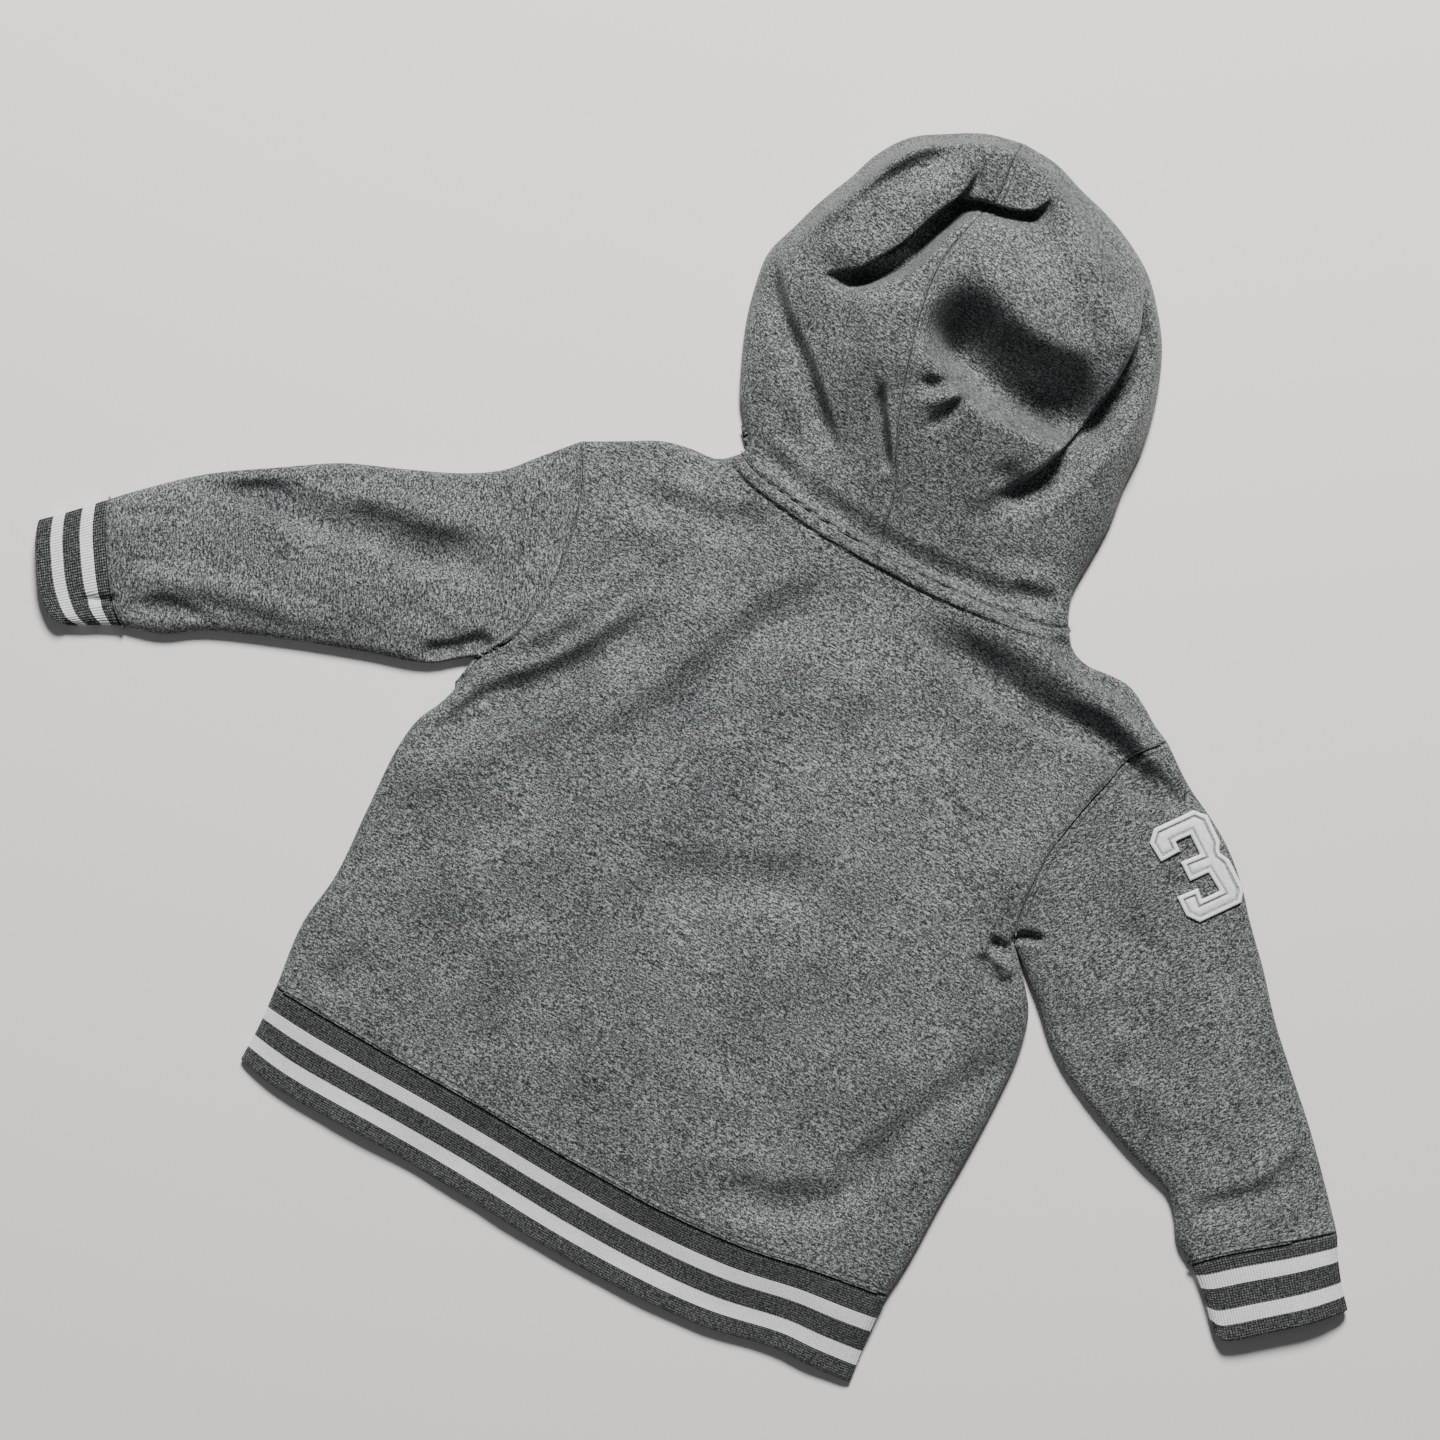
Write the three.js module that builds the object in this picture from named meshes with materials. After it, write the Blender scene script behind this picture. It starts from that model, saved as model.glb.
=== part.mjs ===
// Toddler pullover hoodie, laid face down with the hood spread above the neck.
// Millimetres. +X runs right along the hem, +Y from hem to hood, +Z up from the floor.

import * as THREE from 'three';

// Cloth
const fleeceThickness = 2.2;
const ribThickness = 2;
const seamGap = 0.3;
const curveStep = 4;

// Place of the pattern's origin, so that the garment's box is centred on x = y = 0
const patternX = 5.7;
const patternY = -289.2;

// Rolled side edge: the quarter ellipses above and below its middle
const edgeHeight = 4.2;
const edgeRoll = 5;
const edgeCrown = 4;
const edgeColumns = [0, 0.3, 1];

// Loft of the upper layer over the lower one
const loft = 5.6;
const loftWidth = 34;
const hemLoftLoss = 3.4;
const hemLoftReach = 75;
const cuffLoftLoss = 2.2;
const cuffLoftReach = 70;
const leastHeight = 5.2;

// Hood dome: a low flap along the outline, then the crown
const flapRise = 9;
const flapWidth = 20;
const domeRise = 27;
const domeStart = 10;
const domeWidth = 62;
const domeNeckReach = 70;

// Back neck seam, covered by a raised strip
const neckStripRise = 0.9;
const neckStripWidth = 7;

// Face opening and front neckline, hidden below
const frontNeckDrop = 56;

// Ribbed bands
const ribPitch = 1.45;
const ribRise = 0.5;

// Numeral on the sleeve, 31 wide and 52 tall in its own directions
const numeralCentre = new THREE.Vector2(206, 309);
const numeralAcross = new THREE.Vector2(0.6, 0.8);
const numeralUp = new THREE.Vector2(-0.8, 0.6);
const numeralGap = 0.4;
const numeralThickness = 1.1;

// Grid counts between the rolled edges
const sideRows = 11;
const frontSideRows = 5;
const armholeColumns = 9;
const sleeveRows = 15;
const shoulderColumns = 3;
const neckColumns = 8;
const necklineColumns = 4;
const hoodRows = 21;
const hemInsideColumns = 18;

const charcoal = 0x63686a;
const ribCharcoal = 0x4c5153;
const offWhite = 0xe9edeb;

// Plan tables. Every row is one point, columns x and y.
const rows = (...list) => list.map(([x, y]) => new THREE.Vector2(x, y));

const hemEdge = rows(
  [-173, 0], [-150, -4], [-90, -5.5], [-40, -8], [10, -11.7], [55, -12.5],
  [95, -10], [132, -3], [150, -2.6], [173, -1],
);
const hemSeam = rows(
  [-174, 40.6], [-120, 38], [-60, 36], [-8, 33.3], [50, 32], [95, 35], [130, 41], [169, 46],
);
const leftBandSide = rows([-173, 0], [-172.6, 20], [-174, 40.6]);
const leftSide = rows(
  [-174, 40.6], [-177.2, 75], [-173.6, 104], [-175, 140], [-176, 176], [-173.5, 193],
  [-168.5, 206], [-166, 222], [-160.5, 235],
);
const rightBandSide = rows([173, -1], [170.6, 20], [169, 46]);
const rightSide = rows(
  [169, 46], [170.8, 66], [171.3, 100], [172.5, 135], [172.3, 165], [171, 186],
  [166, 205], [155.5, 219], [143.5, 232],
);
const leftArmhole = rows(
  [-160.5, 235], [-150, 251], [-144.5, 275], [-146, 300], [-151, 324], [-158, 341], [-165.9, 354],
);
const rightArmhole = rows(
  [143.5, 232], [139.5, 243], [137.3, 262], [137.8, 285], [141, 303], [146, 323],
  [152.5, 344], [164.4, 357.4],
);
const leftUnderarm = rows(
  [-160.5, 235], [-167.5, 230.5], [-182.5, 219.5], [-214, 209.5], [-252, 196.5], [-289, 181.8],
  [-307, 170.5], [-326.6, 165],
);
const leftOverarm = rows(
  [-165.9, 354], [-180, 338.5], [-194, 323], [-211.5, 312], [-239, 300], [-267, 288.5],
  [-293, 272.5], [-325.9, 251], [-353, 227], [-362, 218],
);
const rightUnderarm = rows(
  [143.5, 232], [156, 221.5], [168, 211], [181, 198], [193, 189], [211, 179.5], [231, 171],
  [252, 163.4], [268, 158.5], [276.5, 150.5], [285.5, 137.6], [296.3, 131.6],
);
const rightOverarm = rows(
  [164.4, 357.4], [184, 343], [201, 334], [216, 324.5], [231, 311], [243, 297], [260, 279],
  [278, 258], [296.7, 239.6], [317, 220], [339.6, 195.7], [354, 179.5],
);
const leftCuffSeam = rows(
  [-326.6, 165], [-333.5, 171], [-340.5, 180], [-347.5, 190.7], [-355.7, 204], [-362, 218],
);
const rightCuffSeam = rows(
  [296.3, 131.6], [303, 138.5], [311, 145.8], [321, 153.6], [335, 164.3], [346.8, 173.6],
  [354, 179.5],
);
const leftCuffUnder = rows([-326.6, 165], [-336, 160.5], [-344, 156], [-351, 152.7]);
const leftCuffOver = rows([-362, 218], [-371.8, 208], [-380, 200], [-388.3, 192.5]);
const leftCuffEdge = rows(
  [-351, 152.7], [-357.6, 152], [-364, 155.4], [-372.2, 163.5], [-378.2, 172.5], [-384, 182.2],
  [-388.3, 192.5],
);
const rightCuffUnder = rows([296.3, 131.6], [305, 124.6], [312.4, 117.2], [322.6, 106.5]);
const rightCuffOver = rows([354, 179.5], [361, 167.5], [368.2, 157.5], [376.9, 147.5]);
const rightCuffEdge = rows(
  [322.6, 106.5], [328, 105], [333.6, 108.5], [342, 115.6], [352.8, 124.6], [363.4, 133.8],
  [376.9, 147.5],
);
const leftShoulder = rows(
  [-165.9, 354], [-148, 363.5], [-130, 373], [-116, 376.3], [-101, 378], [-92, 386],
);
const rightShoulder = rows(
  [164.4, 357.4], [155, 361.8], [145.5, 368], [134, 373.4], [123, 373.6], [111, 372.6],
  [101, 376], [94, 385],
);
const leftNeck = rows([-92, 386], [-83, 381.4], [-53, 376.3], [-30, 374.2], [-8, 373.4]);
const rightNeck = rows([94, 385], [86, 381], [60, 376.5], [27, 373.7], [-8, 373.4]);
const leftHoodSide = rows(
  [-92, 386], [-90.8, 391.5], [-97, 399], [-105, 409], [-113.5, 427], [-120.5, 445],
  [-125, 463], [-127, 481], [-121.5, 499], [-115.5, 517], [-108, 534], [-102, 550],
  [-91, 565.5], [-75, 576], [-58, 585], [-39, 591],
);
const rightHoodSide = rows(
  [94, 385], [90.4, 392], [87.3, 403], [87.8, 422], [88, 441], [85.6, 461], [85, 480],
  [82, 498], [77, 515], [69.6, 532], [59, 547], [47, 560], [32, 569.6], [15, 577], [-2, 582],
  [-20, 588], [-39, 591],
);
const hoodSeam = rows(
  [-8, 373.4], [-11, 385], [-15, 403], [-27, 427], [-39.5, 462], [-46, 489], [-48, 511],
  [-43, 538], [-38.5, 560], [-40, 578], [-39, 591],
);
const leftRim = rows([1, 329.5], [-18, 370], [-35, 420], [-50, 480], [-58, 525], [-39, 562]);
const rightRim = rows([1, 329.5], [20, 370], [40, 420], [42, 480], [22, 530], [-39, 562]);

// Folds. Every row is one fold: its depth (below zero is a trough), the reach on the left
// and on the right of its path, and the path's points.
const folds = [
  { name: 'left armpit', depth: -6.5, left: 15, right: 19,
    path: rows([-176, 178], [-158, 197], [-141, 224], [-119, 245], [-104, 270], [-84, 312]) },
  { name: 'middle diagonal', depth: -3, left: 24, right: 24,
    path: rows([-92, 205], [-70, 245], [-51, 286], [-33, 327], [-4, 356]) },
  { name: 'upper left', depth: -2.6, left: 13, right: 15,
    path: rows([-140, 340], [-95, 347], [-54, 364]) },
  { name: 'right shoulder', depth: -7.5, left: 10, right: 19,
    path: rows([38, 366], [74, 350], [104, 344], [134, 342], [161, 337], [188, 333]) },
  { name: 'right shoulder ridge', depth: 3, left: 9, right: 11,
    path: rows([52, 372], [95, 364], [130, 358], [166, 346]) },
  { name: 'right flank', depth: -4.6, left: 15, right: 17,
    path: rows([170, 190], [151, 143], [135, 105], [122, 77], [101, 61], [52, 46]) },
  { name: 'right armpit', depth: -4.5, left: 8, right: 8,
    path: rows([130, 233], [138, 226], [149, 208]) },
  { name: 'left sleeve', depth: -6, left: 14, right: 15,
    path: rows([-324, 250], [-278, 259], [-247, 261.5], [-200, 268], [-166, 269.5], [-140, 276]) },
  { name: 'left sleeve cuff', depth: -3, left: 9, right: 9,
    path: rows([-338, 166], [-311, 177], [-290, 191], [-274, 206]) },
  { name: 'right sleeve cuff', depth: -4, left: 10, right: 12,
    path: rows([279, 152], [299, 168], [313, 183], [323, 214]) },
  { name: 'middle of the back', depth: -1.8, left: 20, right: 20,
    path: rows([-30, 178], [7, 196], [40, 214]) },
  { name: 'low left', depth: -1.8, left: 14, right: 14,
    path: rows([-158, 50], [-146, 62], [-136, 78]) },
  { name: 'hood slot', depth: -17, left: 10, right: 17,
    path: rows([-97, 475], [-84, 488], [-70, 505], [-60, 528], [-46, 553]) },
  { name: 'hood slot end', depth: -9, left: 9, right: 11,
    path: rows([-50, 546], [-38, 548], [-24, 550], [-8, 559]) },
  { name: 'hood bowl', depth: -16, left: 26, right: 30,
    path: rows([-36, 488], [-6, 494], [22, 494], [54, 486]) },
  { name: 'hood ridge', depth: 9, left: 20, right: 15,
    path: rows([-36, 580], [-10, 564], [18, 541], [46, 520], [64, 500]) },
  { name: 'hood left crease', depth: -8, left: 13, right: 9,
    path: rows([-130, 482], [-101, 456], [-76, 436], [-44, 410]) },
  { name: 'hood right crease', depth: -11, left: 14, right: 9,
    path: rows([64, 530], [63, 505], [58, 478], [49, 449], [36, 424]) },
  { name: 'hood pinch', depth: -5, left: 8, right: 8,
    path: rows([-42, 458], [-28, 461], [-14, 464]) },
  { name: 'hood pinch ridge', depth: 4, left: 7, right: 7,
    path: rows([-26, 442], [-14, 458], [-4, 476]) },
  { name: 'hood seam pocket', depth: -6, left: 8, right: 8,
    path: rows([-43, 446], [-34, 432], [-24, 414]) },
  { name: 'above the neck seam', depth: -3.4, left: 5, right: 9,
    path: rows([88, 392], [55, 383.5], [8, 379.5], [-26, 380], [-80, 388]) },
  { name: 'hood crown left', depth: -3.2, left: 8, right: 8,
    path: rows([-117, 503], [-86, 543], [-54, 580]) },
];

const smoothStep = (value) => THREE.MathUtils.smoothstep(value, 0, 1);
const risingTo = (value) => 1 - (1 - THREE.MathUtils.clamp(value, 0, 1)) ** 2;

// A plan curve through a table's points, as a fine polyline
function curve(points) {
  const knots = points.map((point) => new THREE.Vector3(point.x, point.y, 0));
  const path = new THREE.CatmullRomCurve3(knots, false, 'centripetal');
  const pieces = Math.max(2, Math.round(path.getLength() / curveStep));
  return path.getSpacedPoints(pieces).map((point) => new THREE.Vector2(point.x, point.y));
}

function joined(...parts) {
  const line = [];
  for (const part of parts) line.push(...(line.length ? part.slice(1) : part));
  return line;
}

function lengthsAlong(line) {
  const lengths = [0];
  for (let i = 1; i < line.length; i += 1) {
    lengths.push(lengths[i - 1] + line[i].distanceTo(line[i - 1]));
  }
  return lengths;
}

// Points of a polyline at the given distances from its start
function pointsAt(line, distances) {
  const lengths = lengthsAlong(line);
  return distances.map((distance) => {
    let i = 1;
    while (i < line.length - 1 && lengths[i] < distance) i += 1;
    const part = (distance - lengths[i - 1]) / (lengths[i] - lengths[i - 1]);
    return line[i - 1].clone().lerp(line[i], THREE.MathUtils.clamp(part, 0, 1));
  });
}

// Distances along an edge, closer together where it starts or ends at a rolled edge
function spread(length, columns, rolledStart, rolledEnd) {
  const roll = Math.min(edgeRoll, length / 6);
  const start = rolledStart ? edgeColumns.map((part) => part * roll) : [0];
  const end = rolledEnd ? edgeColumns.map((part) => length - part * roll).reverse() : [length];
  const between = [];
  for (let i = 1; i < columns; i += 1) {
    between.push(THREE.MathUtils.lerp(start.at(-1), end[0], i / columns));
  }
  return [...start, ...between, ...end];
}

function spreadOn(points, columns, rolledStart = false, rolledEnd = false) {
  const line = curve(points);
  return pointsAt(line, spread(lengthsAlong(line).at(-1), columns, rolledStart, rolledEnd));
}

// Unit directions square to a polyline, on its left
function squareTo(line) {
  return line.map((point, i) => {
    const before = line[Math.max(i - 1, 0)];
    const after = line[Math.min(i + 1, line.length - 1)];
    return new THREE.Vector2(before.y - after.y, after.x - before.x).normalize();
  });
}

function moved(line, amount) {
  const square = squareTo(line);
  return line.map((point, i) => point.clone().addScaledVector(square[i], amount));
}

function withEnds(line, first, last) {
  return [first, ...line.slice(1, -1), last];
}

// Silhouettes as polylines with the cloth on their right and the floor on their left
const silhouettes = [
  joined(
    curve(leftCuffOver).reverse(), curve(leftOverarm).reverse(), curve(leftShoulder),
    curve(leftHoodSide), curve(rightHoodSide).reverse(), curve(rightShoulder).reverse(),
    curve(rightOverarm), curve(rightCuffOver),
  ),
  joined(curve(leftBandSide), curve(leftSide), curve(leftUnderarm), curve(leftCuffUnder)),
  joined(
    curve(rightCuffUnder).reverse(), curve(rightUnderarm).reverse(),
    curve(rightSide).reverse(), curve(rightBandSide).reverse(),
  ),
].map((line) => ({ line, square: squareTo(line) }));

// Nearest place on a polyline: distance, place along it, index and side
function nearestOn(line, x, y) {
  let best = { distance: Infinity };
  for (let i = 0; i < line.length - 1; i += 1) {
    const dx = line[i + 1].x - line[i].x;
    const dy = line[i + 1].y - line[i].y;
    const px = x - line[i].x;
    const py = y - line[i].y;
    const part = THREE.MathUtils.clamp((px * dx + py * dy) / (dx * dx + dy * dy), 0, 1);
    const distance = Math.hypot(px - part * dx, py - part * dy);
    if (distance < best.distance) {
      best = { distance, index: i, part, side: Math.sign(dx * py - dy * px) };
    }
  }
  return best;
}

function nearestEdge(x, y) {
  let best = { distance: Infinity };
  for (const { line, square } of silhouettes) {
    const found = nearestOn(line, x, y);
    if (found.distance < best.distance) {
      const out = square[found.index].clone().lerp(square[found.index + 1], found.part);
      best = { distance: found.distance, out: out.normalize() };
    }
  }
  return best;
}

const neckLine = joined(curve(leftNeck), curve(rightNeck).reverse());

// Distance above the back neck seam, measured along y
function aboveNeck(x, y) {
  const at = THREE.MathUtils.clamp(x, neckLine[0].x, neckLine.at(-1).x);
  let i = 1;
  while (i < neckLine.length - 1 && neckLine[i].x < at) i += 1;
  const part = (at - neckLine[i - 1].x) / (neckLine[i].x - neckLine[i - 1].x);
  return y - THREE.MathUtils.lerp(neckLine[i - 1].y, neckLine[i].y, part);
}

const foldLines = folds.map((fold) => {
  const line = curve(fold.path);
  return { ...fold, line, lengths: lengthsAlong(line) };
});

function foldHeight(fold, x, y) {
  const found = nearestOn(fold.line, x, y);
  const reach = found.side > 0 ? fold.left : fold.right;
  if (found.distance >= reach) return 0;
  const along = THREE.MathUtils.lerp(
    fold.lengths[found.index], fold.lengths[found.index + 1], found.part,
  ) / fold.lengths.at(-1);
  const ends = smoothStep(Math.min(along, 1 - along) * 4);
  return fold.depth * ends * (1 - (found.distance / reach) ** 2) ** 2;
}

// Height of the upper layer without its rolled edge
function softHeight(x, y) {
  const edge = nearestEdge(x, y).distance;
  const hemPart = 1 - smoothStep(y / hemLoftReach);
  const cuffGap = Math.min(
    Math.hypot(x - leftCuffEdge[3].x, y - leftCuffEdge[3].y),
    Math.hypot(x - rightCuffEdge[3].x, y - rightCuffEdge[3].y),
  );
  const cuffPart = 1 - smoothStep(cuffGap / cuffLoftReach);
  const rise = loft - hemLoftLoss * hemPart - cuffLoftLoss * cuffPart;
  let height = rise * risingTo(edge / loftWidth);
  const above = aboveNeck(x, y);
  if (above > 0) {
    const dome = flapRise * risingTo(edge / flapWidth)
      + domeRise * smoothStep((edge - domeStart) / domeWidth);
    height += dome * smoothStep(above / domeNeckReach);
  } else {
    height += neckStripRise * smoothStep((neckStripWidth + above) * 1.2);
  }
  const settled = smoothStep((edge - 3) / 9);
  for (const fold of foldLines) height += settled * foldHeight(fold, x, y);
  return Math.max(height, leastHeight - edgeHeight - edgeCrown * risingTo(edge / edgeRoll));
}

// A point of a layer's outer face and the direction square to it. The upper face lies over
// the rolled edge's middle, the lower one under it, flat on the floor.
function facePoint(plan, upper, onEdge) {
  const { distance, out } = nearestEdge(plan.x, plan.y);
  const cos = onEdge ? 1 : 1 - Math.min(distance / edgeRoll, 1);
  const sin = Math.sqrt(1 - cos * cos);
  const step = 0.5;
  const slope = new THREE.Vector3(0, 0, 1);
  let z = edgeHeight * (1 - sin);
  if (upper) {
    z = edgeHeight + edgeCrown * sin + (onEdge ? 0 : softHeight(plan.x, plan.y));
    slope.x = (softHeight(plan.x - step, plan.y) - softHeight(plan.x + step, plan.y)) / (2 * step);
    slope.y = (softHeight(plan.x, plan.y - step) - softHeight(plan.x, plan.y + step)) / (2 * step);
  }
  const face = slope.normalize().multiplyScalar(upper ? sin : -sin);
  face.add(new THREE.Vector3(out.x, out.y, 0).multiplyScalar(cos)).normalize();
  return { point: new THREE.Vector3(plan.x, plan.y, z), face };
}

// The same, with the wall's end kept in the upright plane along a seam
function seamPoint(plan, upper, onEdge, along) {
  const found = facePoint(plan, upper, onEdge);
  const square = new THREE.Vector3(-along.y, along.x, 0);
  found.face.addScaledVector(square, -found.face.dot(square)).normalize();
  return found;
}

// Fills a plan outline of four sides with rows and columns
function filled(bottom, top, left, right) {
  const parts = (line, spare) => {
    const lengths = lengthsAlong(line);
    const whole = lengths.at(-1);
    return whole > 0 ? lengths.map((length) => length / whole) : spare;
  };
  const low = parts(bottom);
  const high = parts(top, low);
  const start = parts(left);
  const end = parts(right);
  return left.map((leftPoint, i) => bottom.map((bottomPoint, j) => {
    const across = THREE.MathUtils.lerp(low[j], high[j], (start[i] + end[i]) / 2);
    const up = THREE.MathUtils.lerp(start[i], end[i], across);
    return new THREE.Vector2()
      .addScaledVector(bottomPoint, 1 - up)
      .addScaledVector(top[j], up)
      .addScaledVector(leftPoint, 1 - across)
      .addScaledVector(right[i], across)
      .addScaledVector(bottom[0], -(1 - across) * (1 - up))
      .addScaledVector(bottom.at(-1), -across * (1 - up))
      .addScaledVector(top[0], -(1 - across) * up)
      .addScaledVector(top.at(-1), -across * up);
  }));
}

// Direction of a seam through one of its points
function seamDirection(line, index, first, last) {
  const before = line[Math.max(index - 1, first)];
  const after = line[Math.min(index + 1, last)];
  return after.clone().sub(before).normalize();
}

// Outer and inner points of one layer over a plan grid. The edges function tells for a
// place in the grid whether it is on a rolled edge, and which seam it ends at, if any.
function layer(grid, upper, thickness, edges) {
  const outer = [];
  const inner = [];
  grid.forEach((row, i) => {
    const found = row.map((plan, j) => {
      const { rolled, seam } = edges(i, j, grid.length - 1, row.length - 1);
      if (!seam) return facePoint(plan, upper, rolled);
      const line = seam.along === 'row' ? row : grid.map((cells) => cells[seam.column ?? j]);
      const index = seam.along === 'row' ? j : i;
      return seamPoint(plan, upper, rolled, seamDirection(line, index, seam.first, seam.last));
    });
    outer.push(found.map(({ point }) => point));
    inner.push(found.map(({ point, face }) => point.clone().addScaledVector(face, -thickness)));
  });
  return { outer, inner };
}

// Closed geometry from triangles, turned so that its faces point out
function solid(triangles) {
  let volume = 0;
  const kept = triangles.filter(([a, b, c]) => (
    a.distanceTo(b) > 1e-6 && b.distanceTo(c) > 1e-6 && c.distanceTo(a) > 1e-6
  ));
  for (const [a, b, c] of kept) volume += a.dot(b.clone().cross(c)) / 6;
  const positions = [];
  for (const [a, b, c] of kept) {
    for (const corner of volume > 0 ? [a, b, c] : [a, c, b]) {
      positions.push(corner.x + patternX, corner.y + patternY, corner.z);
    }
  }
  const geometry = new THREE.BufferGeometry();
  geometry.setAttribute('position', new THREE.Float32BufferAttribute(positions, 3));
  geometry.computeVertexNormals();
  return geometry;
}

const quad = (a, b, c, d) => [[a, b, c], [a, c, d]];

// Wall between an outer and an inner grid, closed at its four sides, or at its two ends
// where the rows run round a tube
function wall({ outer, inner }, round = false) {
  const triangles = [];
  const rowCount = outer.length;
  const columnCount = outer[0].length;
  const next = (j) => (j + 1) % columnCount;
  const faces = round ? columnCount : columnCount - 1;
  for (let i = 0; i < rowCount - 1; i += 1) {
    for (let j = 0; j < faces; j += 1) {
      const k = next(j);
      triangles.push(...quad(outer[i][j], outer[i][k], outer[i + 1][k], outer[i + 1][j]));
      triangles.push(...quad(inner[i][j], inner[i + 1][j], inner[i + 1][k], inner[i][k]));
    }
    if (!round) {
      const e = columnCount - 1;
      triangles.push(...quad(outer[i][0], outer[i + 1][0], inner[i + 1][0], inner[i][0]));
      triangles.push(...quad(outer[i + 1][e], outer[i][e], inner[i][e], inner[i + 1][e]));
    }
  }
  const m = rowCount - 1;
  for (let j = 0; j < faces; j += 1) {
    const k = next(j);
    triangles.push(...quad(outer[0][k], outer[0][j], inner[0][j], inner[0][k]));
    triangles.push(...quad(outer[m][j], outer[m][k], inner[m][k], inner[m][j]));
  }
  return solid(triangles);
}

// Rows round a tube: over the top and back along the underside
const roundRows = (top, under) =>
  top.map((row, i) => [...row, ...under[i].slice(1, -1).reverse()]);

function tubeLayer(grid, thickness) {
  const edges = (i, j, last, end) => ({
    rolled: j === 0 || j === end,
    seam: i === 0 || i === last ? { along: 'row', first: 0, last: end } : null,
  });
  const top = layer(grid, true, thickness, edges);
  const under = layer(grid, false, thickness, edges);
  return {
    outer: roundRows(top.outer, under.outer),
    inner: roundRows(top.inner, under.inner),
  };
}

// Plan edges shared by the pieces
const hemSamples = spreadOn(hemSeam, 26, true, true);
const frontHemSamples = spreadOn(hemSeam, 2 * (shoulderColumns + necklineColumns) + 4, true, true);
const leftArmSeam = spreadOn(leftArmhole, armholeColumns, true, true);
const rightArmSeam = spreadOn(rightArmhole, armholeColumns, true, true);
const leftShoulderPoints = spreadOn(leftShoulder, shoulderColumns, true, false);
const rightShoulderPoints = spreadOn(rightShoulder, shoulderColumns, true, false).reverse();
const leftNeckPoints = spreadOn(leftNeck, neckColumns, true, false);
const rightNeckPoints = spreadOn(rightNeck, neckColumns, true, false).reverse();
const neckSeam = joined(leftNeckPoints, rightNeckPoints);

// Front neckline: a parabola below the ends of the back neck seam
function frontNeckline() {
  const line = [];
  for (let i = 0; i <= 30; i += 1) {
    const across = i / 30;
    const point = leftNeck[0].clone().lerp(rightNeck[0], across);
    point.y -= frontNeckDrop * (1 - (2 * across - 1) ** 2);
    line.push(point);
  }
  return line;
}

const neckline = frontNeckline();
const halfNeckline = (line) =>
  pointsAt(line, spread(lengthsAlong(line).at(-1), necklineColumns, true, false));
const leftNeckline = halfNeckline(neckline.slice(0, 16));
const rightNeckline = halfNeckline(neckline.slice(15).reverse()).reverse();
const frontSeam = joined(leftNeckline, rightNeckline);

function torsoGrid(hem, sides, neck) {
  const half = seamGap / 2;
  const bottom = moved(hem, half);
  const leftArm = moved(leftArmSeam, -half);
  const rightArm = moved(rightArmSeam, half);
  const left = joined(withEnds(spreadOn(leftSide, sides), bottom[0], leftArm[0]), leftArm);
  const right = joined(
    withEnds(spreadOn(rightSide, sides), bottom.at(-1), rightArm[0]), rightArm,
  );
  const collar = moved(neck, -half);
  const top = joined(
    withEnds(leftShoulderPoints, leftArm.at(-1), collar[0]), collar,
    withEnds(rightShoulderPoints, collar.at(-1), rightArm.at(-1)),
  );
  const shoulder = leftShoulderPoints.length - 1;
  const edges = (i, j, last, end) => {
    const onSide = j === 0 || j === end;
    const onShoulder = i === last && (j <= shoulder || j >= end - shoulder);
    let seam = null;
    if (onSide && i >= sides) seam = { along: 'column', first: sides, last };
    else if (i === 0) seam = { along: 'row', first: 0, last: end };
    else if (i === last && j >= shoulder && j <= end - shoulder) {
      seam = { along: 'row', first: shoulder, last: end - shoulder };
    }
    return { rolled: onShoulder || (onSide && i <= sides), seam };
  };
  return { grid: filled(bottom, top, left, right), edges };
}

// Back and front meet at mid-height of the rolled edge, with the seam's gap between them
function torsoLayer(hem, sides, neck, upper) {
  const { grid, edges } = torsoGrid(hem, sides, neck);
  const cloth = layer(grid, upper, fleeceThickness, edges);
  const lift = (upper ? seamGap : -seamGap) / 2;
  grid.forEach((row, i) => row.forEach((plan, j) => {
    if (!edges(i, j, grid.length - 1, row.length - 1).rolled) return;
    cloth.outer[i][j].z += lift;
    cloth.inner[i][j].z += lift;
  }));
  return wall(cloth);
}

const backPanel = () => torsoLayer(hemSamples, sideRows, neckSeam, true);
const frontPanel = () => torsoLayer(frontHemSamples, frontSideRows, frontSeam, false);

// A sleeve between its armhole and cuff seams; side is 1 where the seams' left is outward
function sleeve(armSeam, cuffSeam, underarm, overarm, side) {
  const half = side * seamGap / 2;
  const bottom = moved(armSeam, half);
  const top = moved(spreadOn(cuffSeam, armholeColumns, true, true), -half);
  const left = withEnds(spreadOn(underarm, sleeveRows), bottom[0], top[0]);
  const right = withEnds(spreadOn(overarm, sleeveRows), bottom.at(-1), top.at(-1));
  return wall(tubeLayer(filled(bottom, top, left, right), fleeceThickness), true);
}

// Triangles between two rings with different counts. A ring's places run from 0 to 1 round it.
function stitched(first, second, flip) {
  const triangles = [];
  const placeOf = (ring, k) => (k < ring.length ? ring[k].place : 1);
  let i = 0;
  let j = 0;
  while (i < first.length || j < second.length) {
    const p = first[i % first.length].point;
    const q = second[j % second.length].point;
    const stepFirst = j >= second.length
      || (i < first.length && placeOf(first, i + 1) <= placeOf(second, j + 1));
    const ring = stepFirst ? first : second;
    const r = ring[((stepFirst ? i : j) + 1) % ring.length].point;
    triangles.push(flip ? [p, r, q] : [p, q, r]);
    if (stepFirst) i += 1;
    else j += 1;
  }
  return triangles;
}

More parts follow.
